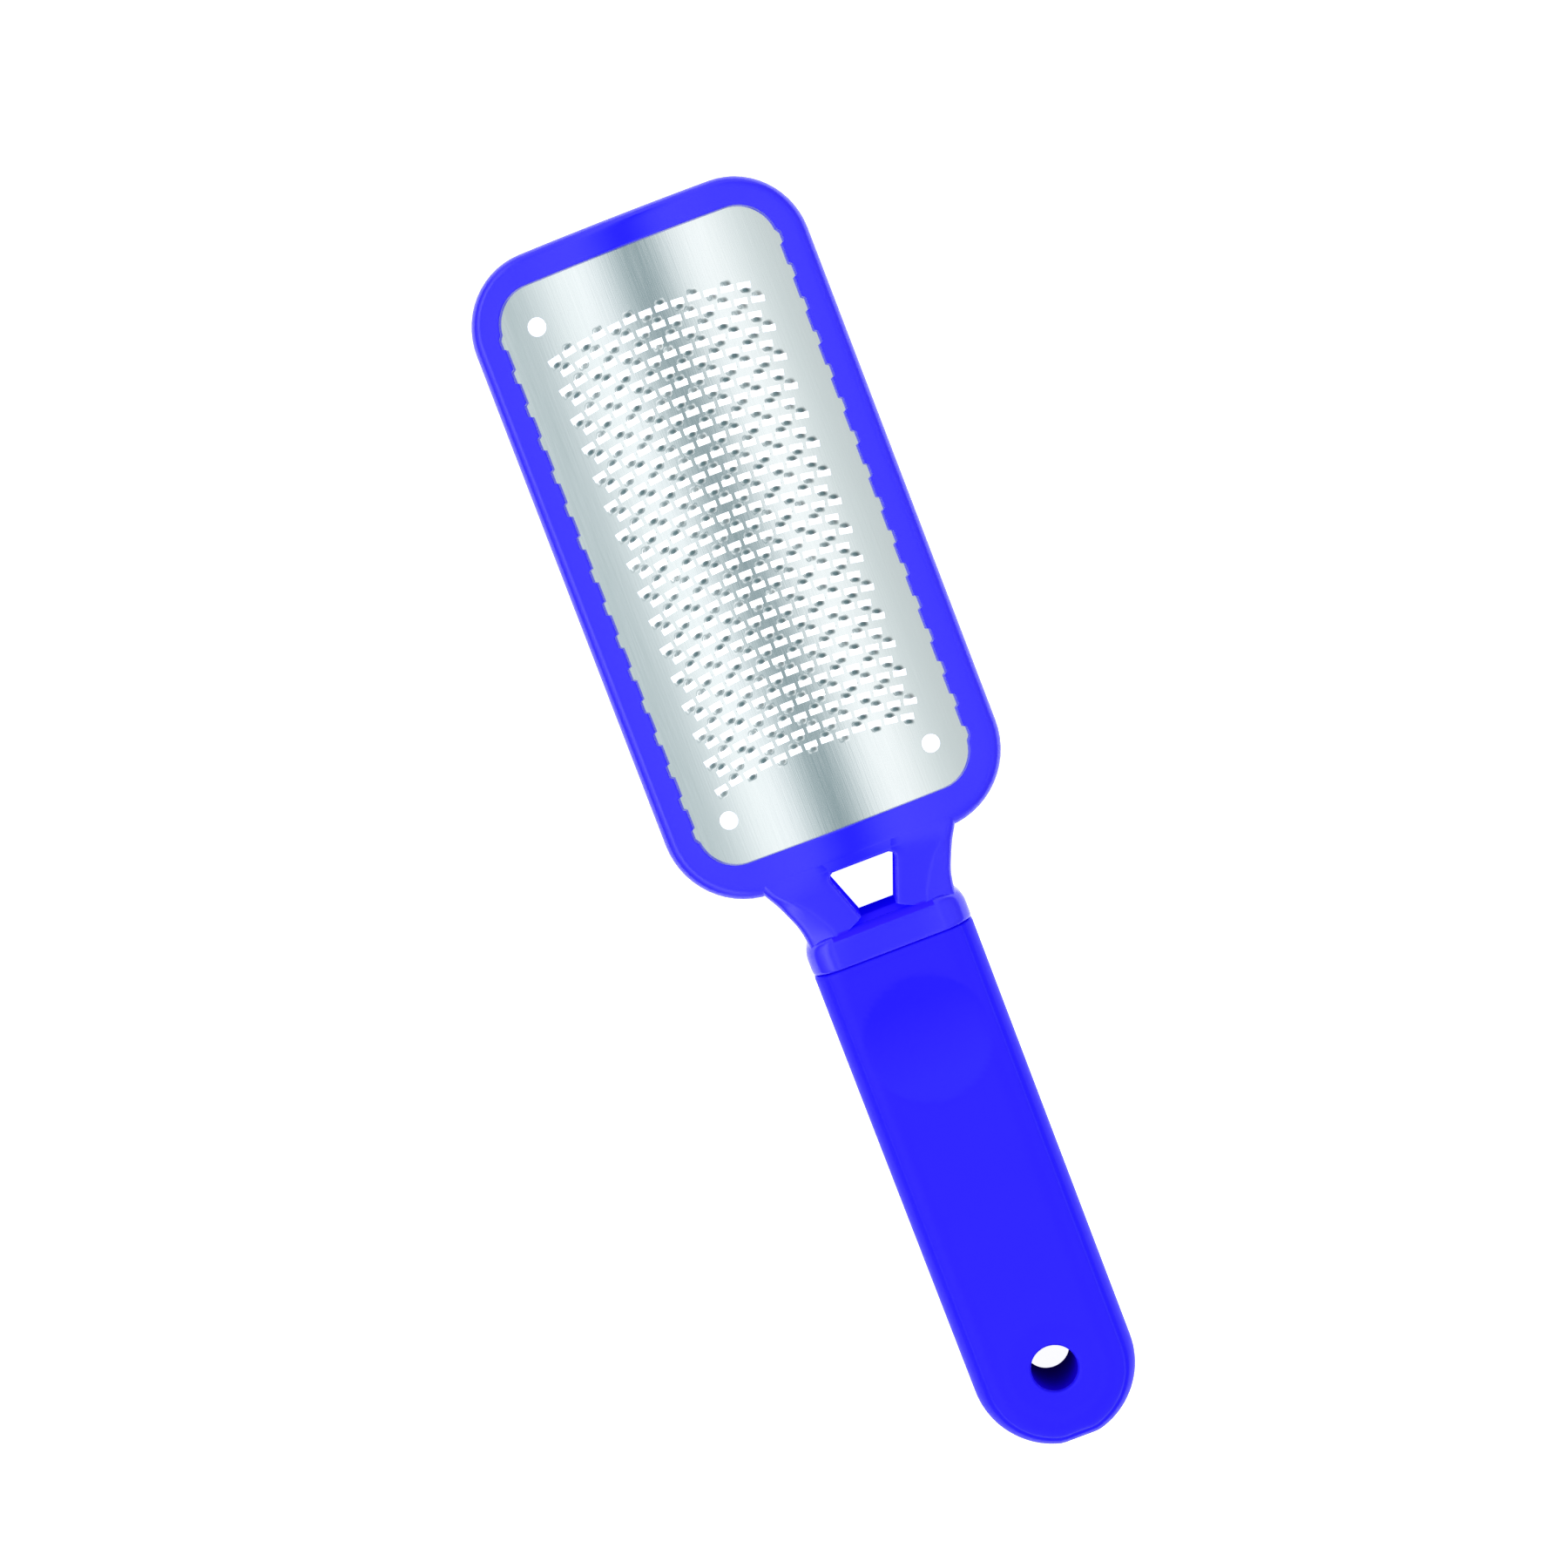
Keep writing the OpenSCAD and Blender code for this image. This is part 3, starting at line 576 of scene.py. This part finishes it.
def ring_points(inner, outer):
    """The head's ring: a closed profile carried round the window.

    Up the lip's face, over its small rounding, along a straight rise to the crown, down a quarter ellipse to
    the outer wall, round the back edge by a quarter circle, across the flat back and up the inner wall.
    A notch is a flat-bottomed dent of the lip with sloped ends.
    """
    band = np.linalg.norm(outer - inner, axis=1)
    out = (outer - inner) / band[:, None]
    away = np.abs(inner[:, 1][:, None] - notch_places).min(1)
    dent = np.clip((NOTCH_LEN / 2 - away) / NOTCH_SLOPE, 0, 1)
    notch = np.where(np.abs(inner[:, 0]) > WINDOW_W / 2 - 0.3, dent * NOTCH_DEPTH, 0)
    zero = np.zeros(len(inner))

    def at(reach, over_face=None, z=None):
        p = inner + out * reach[:, None]
        return np.column_stack([p, face_z(p[:, 0]) + over_face if z is None else np.full(len(p), z)])

    def upper(reach):
        share = reach / band
        rising = LIP_T + CROWN_RISE * np.clip(share / CROWN_SHARE, 0, 1)
        over = np.clip((share - CROWN_SHARE) / (1 - CROWN_SHARE), 0, 1)
        return rising - SHOULDER_DROP * (1 - np.sqrt(1 - over**2))

    rows = [at(zero, z=BACK_R / 2), at(zero, z=BACK_R), at(zero, z=WALL_MIDDLE_Z), at(zero, -WALL_UNDER)]
    rows += [at(notch, -NOTCH_UNDER), at(notch, upper(zero) - LIP_ROUND)]
    for turn in np.linspace(0, np.pi / 2, ROUND_LINES)[1:]:
        reach = notch + LIP_ROUND * (1 - np.cos(turn))
        rows.append(at(reach, upper(reach) - LIP_ROUND * (1 - np.sin(turn))))
    for share in np.linspace(0, CROWN_SHARE, RISE_LINES)[1:]:
        reach = np.maximum(share * band, notch + LIP_ROUND + LEAST_STEP + share)
        rows.append(at(reach, upper(reach)))
    for turn in np.linspace(0, np.pi / 2, SHOULDER_LINES)[1:]:
        reach = band * (CROWN_SHARE + (1 - CROWN_SHARE) * np.sin(turn))
        rows.append(at(reach, upper(reach)))
    rows.append(at(band, z=BACK_R * 2))
    for turn in np.linspace(0, np.pi / 2, ROUND_LINES):
        rows.append(at(band - BACK_R * (1 - np.cos(turn)), z=BACK_R * (1 - np.sin(turn))))
    rows += [at(band / 2, z=0), at(zero + BACK_R / 2, z=0), at(zero + BACK_R / 6, z=BACK_R / 6)]
    return np.stack(rows, 1)


def loop_faces(n, m, closed_path=True, closed_profile=True):
    """Quads over an n by m grid of points, with the path and the profile closed or open."""
    i = np.arange(n if closed_path else n - 1)[:, None]
    j = np.arange(m if closed_profile else m - 1)[None, :]
    a, b = i * m + j, i * m + (j + 1) % m
    c, d = (i + 1) % n * m + (j + 1) % m, (i + 1) % n * m + j
    return np.stack(np.broadcast_arrays(a, b, c, d), -1).reshape(-1, 4).tolist()


# Both outlines are divided at the notches' corners, so that every notch is sharp
notch_places = (WINDOW_NEAR + WINDOW_FAR) / 2 + NOTCH_PITCH * (np.arange(NOTCHES) - (NOTCHES - 1) / 2)
side_y = np.array([WINDOW_NEAR + WINDOW_R, WINDOW_FAR - WINDOW_R])
notch_edges = np.array([-0.5, -0.5, 0.5, 0.5]) * NOTCH_LEN + np.array([0, 1, -1, 0]) * NOTCH_SLOPE
side_marks = np.concatenate([
    (notch_places[:, None] + notch_edges).ravel(), notch_places, (notch_places[:-1] + notch_places[1:]) / 2,
])
in_side = (side_marks > side_y[0] + MARK_MARGIN) & (side_marks < side_y[1] - MARK_MARGIN)
side_marks = np.sort(side_marks[in_side])
side_shares = (side_marks - side_y[0]) / (side_y[1] - side_y[0])
bar_shares = np.linspace(0, 1, BAR_LINES)[1:-1]
inner = rounded_loop(WINDOW_W, WINDOW_W, WINDOW_NEAR, WINDOW_FAR, [WINDOW_R] * 4)
outer = rounded_loop(HEAD_W, FAR_W, NEAR_Y, FAR_Y, (FAR_R, FAR_R, NEAR_R, NEAR_R))
ring = ring_points(inner, outer)

# The neck belongs to the same moulding
NECK_LEN = 18.2
SEAM_Y = NEAR_Y - NECK_LEN
GAP_WIDE = 14.6
GAP_NARROW = 7.3
GAP_LEN = 10.0
GAP_R = 1.6
GAP_END = NEAR_Y - GAP_LEN
COLLAR_W = 16.75
COLLAR_CORE = COLLAR_W - 6.2
COLLAR_ROUND_H = 5.5
GRIP_T = 15.0
RIDGE_Y = NEAR_Y - 12.4
SHELF_LOW_Z = 10.8
SHELF_TOP_Z = GRIP_T - 0.35
SHELF_W = 9.3
SHELF_INTO_SPOKE = 0.35
SHELF_INTO_COLLAR = 0.5
SHELF_HOLLOW = 0.25
SHELF_LIP = 0.5
SHELF_BASE_Z = 0.4
BROW_HALF_W = 9
BROW_SINK = 0.012
BROW_BASE_Z = 3
CROWN_Y = WINDOW_NEAR - (WINDOW_NEAR - NEAR_Y) * CROWN_SHARE


def smooth(x, xs, ys):
    """A smooth curve through stations that fall: cubic pieces whose slopes average their neighbours'."""
    xs, ys = np.array(xs[::-1], float), np.array(ys[::-1], float)
    slope = np.gradient(ys, xs)
    k = np.clip(np.searchsorted(xs, x) - 1, 0, len(xs) - 2)
    h = xs[k + 1] - xs[k]
    t = np.clip((x - xs[k]) / h, 0, 1)
    ends = ys[k] * (1 + 2 * t) * (1 - t) ** 2 + ys[k + 1] * t**2 * (3 - 2 * t)
    return ends + h * t * (1 - t) * (slope[k] * (1 - t) - slope[k + 1] * t)


def neck_top(x, y):
    """Height of the spokes' face: the ring's crown at the head, turning to a level rise to the collar."""
    crown = face_z(x) + LIP_T + CROWN_RISE - 0.02 - 0.14 * np.maximum(y - CROWN_Y, 0) ** 2
    level = smooth(y, [0, -3.8, -7, -10, -13, -15.6, -17.6], [11.1, 11.3, 11.9, 12.7, 13.5, 14.2, 14.4])
    turn = np.clip((CROWN_Y - y) / 5.5, 0, 1)
    return crown + (level - crown) * turn**2 * (3 - 2 * turn)


def soft_profile(corners):
    """A closed profile through corners given as x, z and reach, each a quadratic curve within its reach."""
    size = max(np.size(z) for x, z, reach in corners)
    points = [np.stack([np.broadcast_to(x, size), np.broadcast_to(z, size)], -1) for x, z, reach in corners]
    rows = []
    for k, (x, z, reach) in enumerate(corners):
        at, before, after = points[k], points[k - 1], points[(k + 1) % len(points)]
        if reach == 0:
            rows.append(at)
            continue
        way_in, way_out = before - at, after - at
        start = at + way_in * np.minimum(reach / np.linalg.norm(way_in, axis=1), 0.5)[:, None]
        stop = at + way_out * np.minimum(reach / np.linalg.norm(way_out, axis=1), 0.5)[:, None]
        rows += [(1 - t) ** 2 * start + 2 * t * (1 - t) * at + t**2 * stop for t in np.linspace(0, 1, 7)]
    return np.stack(rows, 1)


def spoke_points():
    """The right spoke: a soft-cornered profile carried from inside the head to inside the collar.

    Its corners are the gap's lower edge, the gap's upper edge, the ridge, the outer edge and the back.
    """
    y = np.linspace(NEAR_Y + 4.5, RIDGE_Y - 1.2, 45)
    outer_x = smooth(
        y, [2, -0.5, -3.8, -6.3, -9.1, -11.8, -14.2, -17.6], [22.6, 21.6, 20.2, 18.7, 17.3, 16.2, 15.7, 15.5],
    )
    ridge_x = smooth(y, [2, -3.6, -8.0, -12.8, -16.4, -17.6], [20.4, 18.7, 13.9, 10.6, 9.4, 9.1])
    flare = (GAP_WIDE - GAP_NARROW) / 2 / GAP_LEN
    into_shelf = (SHELF_W - GAP_NARROW / 2) / (GAP_END - RIDGE_Y)
    wider = np.where(y > GAP_END, (y - GAP_END) * flare, (GAP_END - y) * into_shelf)
    gap_x = GAP_NARROW / 2 + wider
    corner = np.clip((y - NEAR_Y + GAP_R) / GAP_R, 0, 1)
    gap_x = np.minimum(gap_x, ridge_x - 0.3) - GAP_R * (1 - np.sqrt(1 - corner**2))
    back_z = smooth(y, [2, -3.8, -12, -17.6], [1.2, 0.7, 0.1, 0])
    edge_z = smooth(y, [2, -3.8, -9, -17.6], [8.4, 9.4, 11.5, 13.0])
    face = [(x, neck_top(x, y), 0) for x in (gap_x + (ridge_x - gap_x) * s for s in (0.2, 0.4, 0.6, 0.8))]
    profile = soft_profile([
        (gap_x, back_z, 0.6), (gap_x, neck_top(gap_x, y), 0.7), *face,
        (ridge_x, neck_top(ridge_x, y), 0.8), (outer_x, edge_z, 1.8), (outer_x - 0.6, back_z, 1.2),
    ])
    along = np.broadcast_to(y[:, None, None], profile[..., :1].shape)
    return np.concatenate([profile[..., :1], along, profile[..., 1:]], -1)


def brow_points():
    """The bar's edge over the gap: a square-shouldered profile carried across, between the spokes."""
    x = np.linspace(-BROW_HALF_W, BROW_HALF_W, 19)
    far = CROWN_Y + 2
    face = [(y, neck_top(x, y) - BROW_SINK, 0) for y in np.linspace(far, NEAR_Y + 1.2, 8)]
    profile = soft_profile([
        (far, BROW_BASE_Z, 0), *face,
        (NEAR_Y, neck_top(x, NEAR_Y) - BROW_SINK, 0.9), (NEAR_Y, BROW_BASE_Z, 0),
    ])
    return np.concatenate([np.broadcast_to(x[:, None, None], profile[..., :1].shape), profile], -1)


def collar_points():
    """The collar: a rounded bar's profile carried from inside the spokes to the seam.

    A station says how far it lies from the ridge, and what the bar loses there at its side and its top.
    """
    stations = np.array([
        (1.3, 2.6, 2.1), (1.1, 1.9, 1.25), (0.85, 1.4, 0.75), (0.55, 1.05, 0.42), (0.25, 0.8, 0.23),
        (0, 0.62, 0.12), (-0.35, 0.42, 0.04), (-0.8, 0.24, 0), (-1.3, 0.11, 0), (-1.9, 0.03, 0),
        (-2.6, 0, 0), (-3.9, 0, 0), (-4.7, 0, 0), (-5.2, 0.05, 0.04), (-5.5, 0.2, 0.16),
        (-5.68, 0.45, 0.36), (-5.8, 0.9, 0.72),
    ])
    y, side_less, top_less = RIDGE_Y + stations[:, :1], stations[:, 1:2], stations[:, 2:]
    turn = np.linspace(0, np.pi / 2, 13)
    w, t = COLLAR_W - side_less, GRIP_T / 2 - top_less
    round_w, flat = w - COLLAR_CORE, 0 * w + COLLAR_CORE / 2
    upper_z = t - COLLAR_ROUND_H * (1 - np.cos(turn))
    lower_z = COLLAR_ROUND_H * (1 - np.sin(turn)[1:]) - t
    side_x = COLLAR_CORE + np.concatenate([round_w * np.sin(turn), round_w * np.cos(turn)[1:]], 1)
    side_z = np.concatenate([upper_z, lower_z], 1)
    x = np.concatenate([0 * w, flat, side_x, flat, 0 * w], 1)
    z = GRIP_T / 2 + np.concatenate([t, t, side_z, -t, -t], 1)
    x, z = np.concatenate([x, -x[:, -2:0:-1]], 1), np.concatenate([z, z[:, -2:0:-1]], 1)
    return np.stack(np.broadcast_arrays(x, y, z), -1)


def shelf_points():
    """The shelf: a wedge whose hollow face falls from the collar's edge to the gap's end wall."""
    along = np.array([0, 0, 0.03, 0.1, 0.2, 0.35, 0.5, 0.65, 0.8, 0.92, 1.0])[:, None]
    across_it = np.linspace(-1, 1, 17)
    half = GAP_NARROW / 2 + (SHELF_W - GAP_NARROW / 2) * along + SHELF_INTO_SPOKE
    hollow = SHELF_HOLLOW * np.sin(np.pi * along) * (1 - across_it**2)
    z = SHELF_LOW_Z + (SHELF_TOP_Z - SHELF_LOW_Z) * along**0.75 - hollow
    z[0] -= SHELF_LIP
    x = half * across_it
    y = GAP_END + (RIDGE_Y - SHELF_INTO_COLLAR - GAP_END) * along + 0 * x
    low = np.stack([x[:, [-1, 0]], y[:, [-1, 0]], 0 * x[:, [-1, 0]] + SHELF_BASE_Z], -1)
    return np.concatenate([np.stack([x, y, z], -1), low], 1)


def shell(points):
    """Points and faces of a profile carried along a path, with both ends closed."""
    n, m = points.shape[:2]
    ends = [list(range(m))[::-1], list(range((n - 1) * m, n * m))]
    return points.reshape(-1, 3), loop_faces(n, m, closed_path=False) + ends


def joined(parts):
    """Several shells as the points and faces of one piece."""
    starts = np.cumsum([0] + [len(points) for points, faces in parts])
    faces = [[k + start for k in face] for start, (_, own) in zip(starts, parts) for face in own]
    return np.concatenate([points for points, own in parts]), faces


def outward(piece):
    """Turns every shell's faces outward."""
    shells = bmesh.new()
    shells.from_mesh(piece.data)
    bmesh.ops.recalc_face_normals(shells, faces=shells.faces)
    shells.to_mesh(piece.data)
    shells.free()


def add_mask(piece, name, depth):
    """A value at every point of a piece, for its materials."""
    mask = piece.data.attributes.new(name, "FLOAT", "POINT")
    mask.data.foreach_set("value", depth.astype(np.float32))


def face_middles(piece):
    """The middle of every face in millimetres, as x, y and z."""
    middles = np.zeros(len(piece.data.polygons) * 3)
    piece.data.polygons.foreach_get("center", middles)
    return middles.reshape(-1, 3).T / MM


def shaded(piece, name, plain, painted_shade, painted_glow, inside):
    """A second material for the faces inside a hole: no sheen, for they see only the tool's own walls.

    It turns from the plain colour to a dark painted shade by the piece's hollow mask, and has a painted
    glow: a faint emission that lightens these shaded faces, which give no light of their own.
    """
    made = finish(
        name, plain, plain, rough=(0.8, 0.9), bump=0.05, fine=2500, slow=25, stretch=1.0,
        Specular_IOR_Level=0, Emission_Strength=1,
    )
    made.node_tree.nodes["Principled BSDF"].inputs["Emission Color"].default_value = (*painted_glow, 1)
    hollow = shader(made.node_tree, "ShaderNodeAttribute", attribute_name="hollow")
    turn_to(made, hollow.outputs["Fac"], painted_shade, 0.9)
    piece.data.materials.append(made)
    piece.data.polygons.foreach_set("material_index", inside.astype(np.int32))


spoke, shelf = spoke_points(), shell(shelf_points())
body = joined([
    (ring.reshape(-1, 3), loop_faces(*ring.shape[:2])),
    shell(spoke), shell(spoke[:, ::-1] * np.array([-1, 1, 1])),
    shell(brow_points()), shell(collar_points()), shelf,
])
body_piece = make_piece("frame_body", *body, sharp=0.7)
outward(body_piece)
x, y, z = body[0].T
# Painted shade: the hollow mask darkens the foot of the gap's end wall
on_end_wall = np.abs(y - GAP_END) < 0.05
add_mask(body_piece, "hollow", on_end_wall * np.clip((SHELF_LOW_Z + 0.1 - z) / 0.4, 0, 1))
frame_plastic = finish(
    "blue_plastic", (0.011, 0.001, 0.98), (0.014, 0.002, 1.0), rough=(0.2, 0.23), bump=0.02,
    fine=2500, slow=25, stretch=1.0, IOR=1.62,
)

# The middles of the two bars across are glossier, so that the tent's dark band shows in them. They also take
# a slightly darker tone there, painted shade that deepens the band
POLISH_AND_SHADE_FADE = {"From Min": 14 * MM, "From Max": 5 * MM}
POLISH_AND_SHADE_START = {"From Min": (NEAR_Y - 1) * MM, "From Max": (NEAR_Y + 0.5) * MM}
POLISH_SHADE_TONE = (0.009, 0, 1.0)
POLISH_ROUGH = 0.08
tree = frame_plastic.node_tree
place = shader(tree, "ShaderNodeTexCoord")
split = shader(tree, "ShaderNodeSeparateXYZ")
to_side = shader(tree, "ShaderNodeMath", operation="ABSOLUTE")
on_bar = shader(tree, "ShaderNodeMapRange", POLISH_AND_SHADE_FADE)
over_neck = shader(tree, "ShaderNodeMapRange", POLISH_AND_SHADE_START)
polished_and_shaded = shader(tree, "ShaderNodeMath", operation="MULTIPLY")
tree.links.new(place.outputs["Object"], split.inputs[0])
tree.links.new(split.outputs["X"], to_side.inputs[0])
tree.links.new(to_side.outputs[0], on_bar.inputs["Value"])
tree.links.new(split.outputs["Y"], over_neck.inputs["Value"])
tree.links.new(on_bar.outputs[0], polished_and_shaded.inputs[0])
tree.links.new(over_neck.outputs[0], polished_and_shaded.inputs[1])
turn_to(frame_plastic, polished_and_shaded.outputs[0], POLISH_SHADE_TONE, POLISH_ROUGH)
body_piece.data.materials.append(frame_plastic)

# The gap's own walls, the shelf behind it, whose faces are the mesh's last, and the collar's front over the
# shelf take the second material: its paler plain tone and faint glow are painted light on these shaded faces
x, y, z = face_middles(body_piece)
gap_line = GAP_NARROW / 2 + (y - GAP_END) * (GAP_WIDE - GAP_NARROW) / 2 / GAP_LEN + 0.25
in_gap = (np.abs(x) < gap_line) & (y < NEAR_Y + 0.1) & (y > GAP_END - 0.1) & (z < neck_top(x, y) - 0.5)
in_gap |= (np.abs(x) < SHELF_W) & (y > RIDGE_Y - 0.05) & (y < RIDGE_Y + 1.4) & (z > GRIP_T - 2.5)
in_gap |= (np.arange(len(x)) >= len(x) - len(shelf[1])) & (z > 1)
shaded(body_piece, "plastic_in_gap", (0.03, 0.014, 1.0), (0.014, 0.002, 0.9), (0, 0, 0.12), in_gap)
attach(body_piece, "root")
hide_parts("frame")


# Grip: soft rubber moulded over the frame's tang. A fine line runs round it near its side, a shallow
# round dish takes the thumb, and a hole with a soft mouth goes through its end for hanging.
END_Y = -130.0
GRIP_W = 16.7
GRIP_ROUND_W = 6.0
GRIP_ROUND_H = 5.4
RIM_INSET = 2.4
RIM_R = 0.6
RIM_DEPTH = 0.26
DISH_Y = SEAM_Y - 18.7
DISH_R = 12.75
DISH_DEPTH = 0.9
DISH_TURN = 8
HANG_Y = END_Y + 17.2
HANG_R = 4.7
MOUTH_R = 0.8
DIP_R = 8.5
DIP_DEPTH = 0.5
ROUND_Y = END_Y + GRIP_W
END_CUT = 0.45
STRAIGHT_LINES = 88
MOUTH_LINES = 7
HOLE_LINES = 15
END_RAYS = 49
RIM_LINES = 9
WALL_SHARES = (0.12, 0.4, 0.7)
# Tones of the painted shade and painted light on the dish and the rim line
RIM_SHADE = 0.85
SHADE_TONE = (0.008, 0, 1.0)
SHINE_TONE = (0.018, 0.01, 1.0)


def bowl(distance, radius, depth):
    """Depth of a ball's dip of this radius in a flat face, at a distance from its middle."""
    ball = (radius**2 + depth**2) / (2 * depth)
    return np.where(distance < radius, np.sqrt(np.maximum(ball**2 - distance**2, 0)) - (ball - depth), 0)


def grip_drop(x, y, inset, with_dish):
    """The face's drop under its flat top: a quarter ellipse at the side, a cosine's rim line, the dips."""
    side = np.clip((GRIP_ROUND_W - inset) / GRIP_ROUND_W, 0, 1)
    line = np.clip(np.abs(inset - RIM_INSET) / RIM_R, 0, 1)
    far = np.hypot(x, y - HANG_Y)
    mouth = np.clip((HANG_R + MOUTH_R - far) / MOUTH_R, 0, 1)
    drop = GRIP_ROUND_H * (1 - np.sqrt(1 - side**2)) + RIM_DEPTH * np.cos(np.pi / 2 * line) ** 2
    drop = drop + bowl(far, DIP_R, DIP_DEPTH) + MOUTH_R * (1 - np.sqrt(1 - mouth**2))
    return drop + with_dish * bowl(np.hypot(x, y - DISH_Y), DISH_R, DISH_DEPTH)


def grip_points():
    """The grip: a half profile carried down one side, round the end and up the other side.

    The path's stations are lines across the straight part and rays of the round end. At each, the profile
    runs from the middle line or the hanging hole's edge out to the side, down it and back underneath.
    """
    mouth_top = HANG_Y + HANG_R + MOUTH_R
    straight = np.concatenate([
        SEAM_Y - np.array([0, 0.05, 0.2, 0.5]), np.linspace(SEAM_Y - 1.5, mouth_top + 0.6, STRAIGHT_LINES),
        HANG_Y + HANG_R + MOUTH_R * np.linspace(1.2, 0.04, MOUTH_LINES),
        HANG_Y + HANG_R * np.sin(np.linspace(np.pi / 2, 0, HOLE_LINES)), [ROUND_Y],
    ])
    pinch = np.concatenate([[0.5, 0.33, 0.14, 0], np.zeros(len(straight) - 4)])
    rays = np.linspace(0, np.pi, END_RAYS)[1:-1]
    way = np.stack([np.cos(rays), -np.sin(rays)], -1)
    offset = HANG_Y - ROUND_Y
    reach = -offset * np.sin(rays) + np.sqrt(HANG_R**2 - (offset * np.cos(rays)) ** 2)
    half_hole = np.sqrt(np.maximum(HANG_R**2 - (straight - HANG_Y) ** 2, 0))
    starts = np.stack([np.where(straight < HANG_Y + HANG_R, half_hole, 0), straight], -1)
    sides = np.stack([GRIP_W - pinch, straight], -1)
    starts = np.concatenate([starts, way * reach[:, None] + [0, ROUND_Y], starts[::-1] * [-1, 1]])
    sides = np.concatenate([sides, way * GRIP_W + [0, ROUND_Y], sides[::-1] * [-1, 1]])
    sides[:, 1] = np.maximum(sides[:, 1], END_Y + END_CUT)
    less = np.concatenate([pinch, 0 * rays, pinch[::-1]])[:, None]
    inset = np.concatenate([
        [0], np.linspace(0, 1, 8)[1:] ** 2 * 1.6, RIM_INSET + RIM_R * np.linspace(-1, 1, RIM_LINES),
        np.linspace(RIM_INSET + RIM_R, GRIP_ROUND_W, 6)[1:],
    ])[::-1]
    inner = np.concatenate([np.linspace(0, 1, 5)[:-1] ** 1.5 * 0.17, np.linspace(0.17, 1, 11)])[:-1]
    length = np.linalg.norm(sides - starts, axis=1)[:, None]
    along = np.concatenate([inner * (length - GRIP_ROUND_W), length - inset], 1)
    p = starts[:, None] + (sides - starts)[:, None] * (along / length)[..., None]
    up = GRIP_T - less - grip_drop(p[..., 0], p[..., 1], length - along, 1)
    down = less + grip_drop(p[..., 0], p[..., 1], length - along, 0)
    wall_z = up[:, -1:] + (down[:, -1:] - up[:, -1:]) * np.array(WALL_SHARES)
    z = np.concatenate([up, wall_z, down[:, ::-1]], 1)
    plan = np.concatenate([p, p[:, [-1, -1, -1]], p[:, ::-1]], 1)
    return np.concatenate([plan, z[..., None]], -1)


grip = grip_points()
grip_faces = loop_faces(*grip.shape[:2], closed_path=False, closed_profile=False)
grip_piece = make_piece("rubber_grip", grip.reshape(-1, 3), grip_faces)
x, y, z = grip.reshape(-1, 3).T
far = np.hypot(x, y - HANG_Y)
# Painted shade: the hollow mask darkens the hanging hole's wall below its mouth
add_mask(grip_piece, "hollow", (far < HANG_R + 0.1) * np.clip(GRIP_T - 0.8 - z, 0, 1))

# Painted shade and painted light: the dish is darker toward the head and lighter toward its foot, and the rim
# line is painted darker too, as shade in its groove
up_dish = np.clip((y - DISH_Y) / DISH_TURN, -1, 1)
in_dish = np.clip((DISH_R + 0.3 - np.hypot(x, y - DISH_Y)) / 0.6, 0, 1) * (z > GRIP_T / 2)
from_edge = GRIP_W - np.hypot(x, np.minimum(y - ROUND_Y, 0))
in_rim = np.clip(1.3 - np.abs(from_edge - RIM_INSET) / RIM_R, 0, 1) * (z > GRIP_T / 2)
add_mask(grip_piece, "shade", np.maximum(in_dish * np.clip(up_dish, 0, 1), RIM_SHADE * in_rim))
add_mask(grip_piece, "shine", in_dish * np.clip(-up_dish, 0, 1))

# The two halves are merged along the middle line. A band of faces makes the hole's wall, and one face
# closes the front
shells = bmesh.new()
shells.from_mesh(grip_piece.data)
bmesh.ops.remove_doubles(shells, verts=shells.verts, dist=1e-6)
near_hole = HANG_R * 1.2 * MM
hole_edges = [
    edge for edge in shells.edges
    if edge.is_boundary and all(np.hypot(v.co.x, v.co.y - HANG_Y * MM) < near_hole for v in edge.verts)
]
bmesh.ops.bridge_loops(shells, edges=hole_edges)
bmesh.ops.holes_fill(shells, edges=[edge for edge in shells.edges if edge.is_boundary], sides=0)
bmesh.ops.recalc_face_normals(shells, faces=shells.faces)
shells.to_mesh(grip_piece.data)
shells.free()
grip_piece.data.set_sharp_from_angle(angle=0.7)
grip_rubber = finish(
    "blue_rubber", (0.013, 0.004, 0.98), (0.017, 0.007, 1.0), rough=(0.42, 0.5), bump=0.08,
    fine=3200, slow=30, stretch=1.0, Specular_IOR_Level=0.2,
)
for mask, tone in (("shade", SHADE_TONE), ("shine", SHINE_TONE)):
    where = shader(grip_rubber.node_tree, "ShaderNodeAttribute", attribute_name=mask)
    turn_to(grip_rubber, where.outputs["Fac"], tone, 0.5)
grip_piece.data.materials.append(grip_rubber)
# The hole's wall takes the second material: painted shade that turns it nearly black inside, and a faint
# painted glow
x, y, z = face_middles(grip_piece)
in_hole = np.hypot(x, y - HANG_Y) < HANG_R + 0.01
shaded(grip_piece, "rubber_in_hole", (0.012, 0.001, 1.0), (0.001, 0, 0.03), (0.0012, 0, 0.03), in_hole)
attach(grip_piece, "root")
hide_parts("grip")
